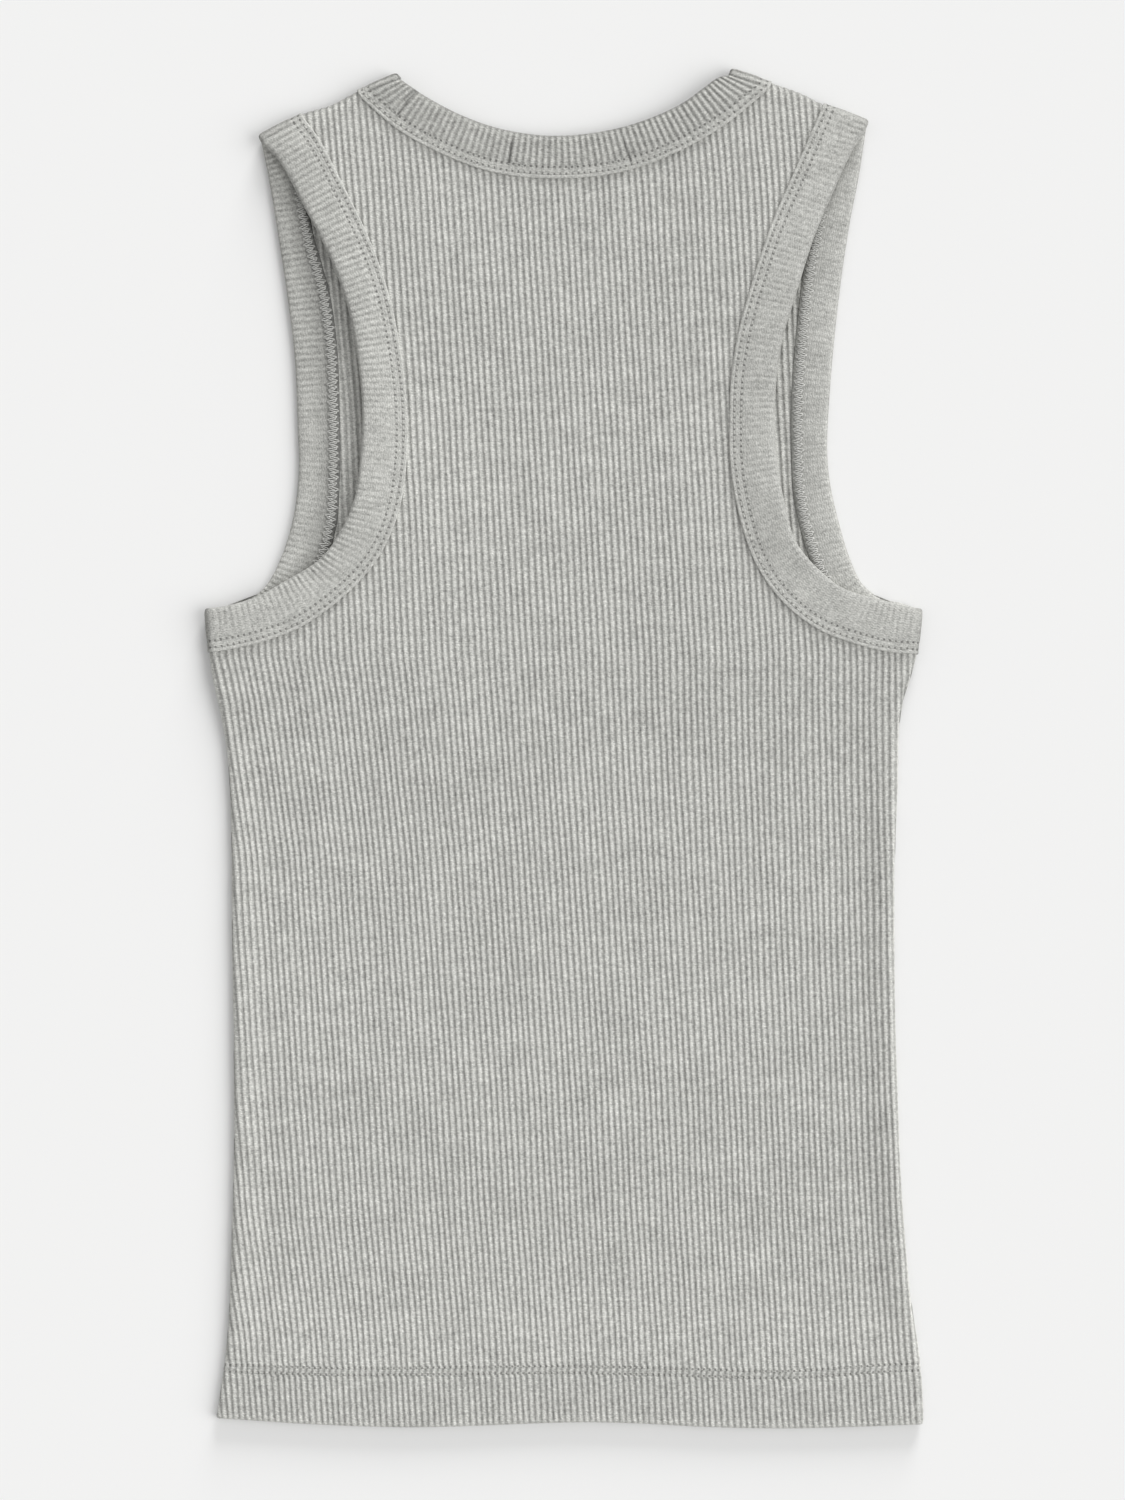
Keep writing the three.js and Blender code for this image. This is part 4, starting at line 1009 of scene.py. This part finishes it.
def knit(name, shaded_groove_color, crest, inner_edge, raggedness):
    """Melange rib knit: loops, fibres, painted shade in grooves, holes and creases, and a painted
    highlight on the rim.
    """
    n = Nodes(name)
    rib_number, rib_along = n.uv("rib")
    stitch_number, seam_across = n.uv("seam")
    groove_shade_strength = n.point_value("groove_shade_strength")
    crease_and_painted_shade = n.point_value("crease_and_painted_shade")
    place = n.node("ShaderNodeTexCoord").outputs["Object"]
    grains = {key: n.noise(place, grain) for key, grain in GRAINS.items()}
    centred = {key: n.subtract(grain, 0.5) for key, grain in grains.items()}

    # The grooves take the darker colour: painted shade, ragged with flecks
    from_crest = n.math("ABSOLUTE", n.subtract(n.math("FRACT", rib_number), 0.5))
    ragged = n.add(from_crest, n.multiply(centred["fleck"], raggedness))
    bite = n.add(GROOVE_BITE[0], n.multiply(grains["fleck"], GROOVE_BITE[1]))
    dark = n.multiply(n.multiply(n.smooth(ragged, inner_edge, GROOVE_EDGE), groove_shade_strength), bite)
    base = n.mix(dark, crest, shaded_groove_color)

    chevron = n.add(n.multiply(rib_along, UV_UNIT / LOOP_HEIGHT), from_crest)
    loops = n.math("SINE", n.multiply(chevron, 2 * math.pi))
    tone = n.add(1.0, n.multiply(loops, LOOP_RELIEF))
    for key, share in GRAIN_TONES.items():
        tone = n.add(tone, n.multiply(centred[key], share))

    from_edge = n.multiply(seam_across, UV_UNIT)
    row_middle = (SEAM_ROWS[0] + SEAM_ROWS[1]) / 2
    row_half = (SEAM_ROWS[1] - SEAM_ROWS[0]) / 2
    from_rows = n.subtract(n.math("ABSOLUTE", n.subtract(from_edge, row_middle)), row_half)
    turn = n.subtract(n.math("FRACT", n.add(stitch_number, 0.5)), 0.5)
    along = n.multiply(turn, STITCH_LENGTH)
    squares = n.add(n.multiply(along, along), n.multiply(from_rows, from_rows))
    from_hole = n.add(n.math("SQRT", squares), n.multiply(centred["fleck"], HOLE_RAGGEDNESS))
    hole = n.fade(from_hole, *HOLE_RADII)
    rim = n.fade(from_edge, *RIM_REACH)
    # Painted shade in the needle holes and from the point values, and a painted highlight on the rolled
    # rim
    tone = n.multiply(tone, n.subtract(1.0, n.multiply(hole, HOLE_SHADE)))
    tone = n.multiply(tone, n.subtract(1.0, n.multiply(crease_and_painted_shade, PAINTED_SHADE)))
    tone = n.multiply(tone, n.add(1.0, n.multiply(rim, RIM_PAINTED_HIGHLIGHT)))

    scaled = n.node("ShaderNodeVectorMath", operation="SCALE")
    n.link(base, scaled.inputs[0])
    n.link(tone, scaled.inputs["Scale"])
    n.link(scaled.outputs[0], n.shader.inputs["Base Color"])
    height = n.subtract(n.multiply(grains["fibre"], FIBRE_RELIEF), n.multiply(dark, GROOVE_RELIEF))
    height = n.add(height, n.multiply(loops, LOOP_RELIEF))
    height = n.subtract(height, n.multiply(hole, HOLE_RELIEF))
    n.bump(height, strength=0.9, distance=0.001)
    n.shader.inputs["Roughness"].default_value = 0.95
    n.shader.inputs["Specular IOR Level"].default_value = 0.15
    n.shader.inputs["Sheen Weight"].default_value = 0.02
    n.shader.inputs["Sheen Roughness"].default_value = 0.6
    return n.material


def thread_material(name, dark, light):
    """Twisted sewing thread, between two colours."""
    n = Nodes(name)
    twist = n.noise(n.node("ShaderNodeTexCoord").outputs["Object"], THREAD_TWIST)
    color = n.mix(n.smooth(twist, *THREAD_TWIST_RANGE), dark, light)
    n.link(color, n.shader.inputs["Base Color"])
    n.bump(twist, strength=0.5, distance=0.0002)
    n.shader.inputs["Roughness"].default_value = 0.7
    return n.material


def floor_material():
    n = Nodes("pale_floor")
    n.shader.inputs["Base Color"].default_value = (0.88, 0.88, 0.875, 1)
    n.shader.inputs["Roughness"].default_value = 1.0
    n.shader.inputs["Specular IOR Level"].default_value = 0.0
    return n.material


# Each groove colour is a darker copy of its crest colour: painted shade in the grooves
panel_knit = knit(
    "rib_knit_cloth",
    shaded_groove_color=(0.39, 0.39, 0.37, 1),
    crest=(0.575, 0.575, 0.545, 1),
    inner_edge=0.07,
    raggedness=0.2,
)
binding_knit = knit(
    "rib_binding_cloth",
    shaded_groove_color=(0.32, 0.32, 0.302, 1),
    crest=(0.515, 0.515, 0.488, 1),
    inner_edge=0.04,
    raggedness=0.12,
)
thread = thread_material("needle_thread", dark=(0.40, 0.40, 0.375, 1), light=(0.60, 0.60, 0.57, 1))
looper = thread_material("looper_thread", dark=(0.40, 0.40, 0.38, 1), light=(0.74, 0.74, 0.71, 1))

# Pieces

back_cloth = make_panel("back", panel_knit)
front_cloth = make_panel("front", panel_knit)
neck_ring, neck_cloth = make_ring("neck", "neck_binding_cloth", binding_knit)
left_ring, left_cloth = make_ring("left", "left_armhole_binding_cloth", binding_knit)
right_ring, right_cloth = make_ring("right", "right_armhole_binding_cloth", binding_knit)

hem_thread = tubes("hem_stitches", hem_stitches(), THREAD_RADIUS, thread)
sewing = [hem_thread]
for name, ring in (("neck", neck_ring), ("left", left_ring), ("right", right_ring)):
    sewing.append(tubes(f"{name}_stitches", ring_stitches(ring), THREAD_RADIUS, thread))
for name, ring in (("left", left_ring), ("right", right_ring)):
    sewing.append(tubes(f"{name}_looper", looper_paths(ring), LOOPER_RADIUS, looper, sides=5))

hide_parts("back_panel")
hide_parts("front_panel")
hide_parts("neck_binding")
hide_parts("left_armhole_binding")
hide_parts("right_armhole_binding")
panels = (back_cloth, front_cloth)
bindings = (neck_cloth, left_cloth, right_cloth)
for piece in (*panels, *bindings, *sewing):
    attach(piece, "root")

# Floor, light and camera
FLOOR_SIZE = 6.0
FLOOR_Z = -0.0001  # just clear of the cloth's underside
bpy.ops.mesh.primitive_plane_add(size=FLOOR_SIZE, location=(0, 0, FLOOR_Z))
floor = bpy.context.object
floor.name = "floor"
floor.data.materials.append(floor_material())

world = bpy.data.worlds.new("studio")
world.use_nodes = True
world.node_tree.nodes["Background"].inputs["Color"].default_value = (1, 1, 1, 1)
world.node_tree.nodes["Background"].inputs["Strength"].default_value = 0.55
bpy.context.scene.world = world

# Suns: strength, apparent size, height above the floor and direction from the neck side to the right
SUNS = {
    "key": {"strength": 1.5, "size": 50, "elevation": 35, "azimuth": 100},
    "low": {"strength": 2.8, "size": 24, "elevation": 12, "azimuth": 14},
}
for name, sun in SUNS.items():
    light = bpy.data.lights.new(name, "SUN")
    light.energy = sun["strength"]
    light.angle = math.radians(sun["size"])
    lamp = bpy.data.objects.new(name, light)
    lamp.rotation_euler = (math.radians(sun["elevation"] - 90), 0, math.radians(-sun["azimuth"]))
    bpy.context.scene.collection.objects.link(lamp)

# Straight above the garment, a little off its middle as in the photograph
CAMERA_PLACE = (-0.00047, -0.000645, 2.0)
CAMERA_LENS = 100
CAMERA_SENSOR = 36
CAMERA_REACH = 10
camera_data = bpy.data.cameras.new("camera")
camera_data.lens = CAMERA_LENS
camera_data.sensor_width = CAMERA_SENSOR
camera_data.sensor_height = CAMERA_SENSOR
camera_data.sensor_fit = "VERTICAL"
camera_data.clip_end = CAMERA_REACH
camera = bpy.data.objects.new("camera", camera_data)
camera.location = CAMERA_PLACE
bpy.context.scene.collection.objects.link(camera)
bpy.context.scene.camera = camera
bpy.context.scene.view_settings.view_transform = "Standard"
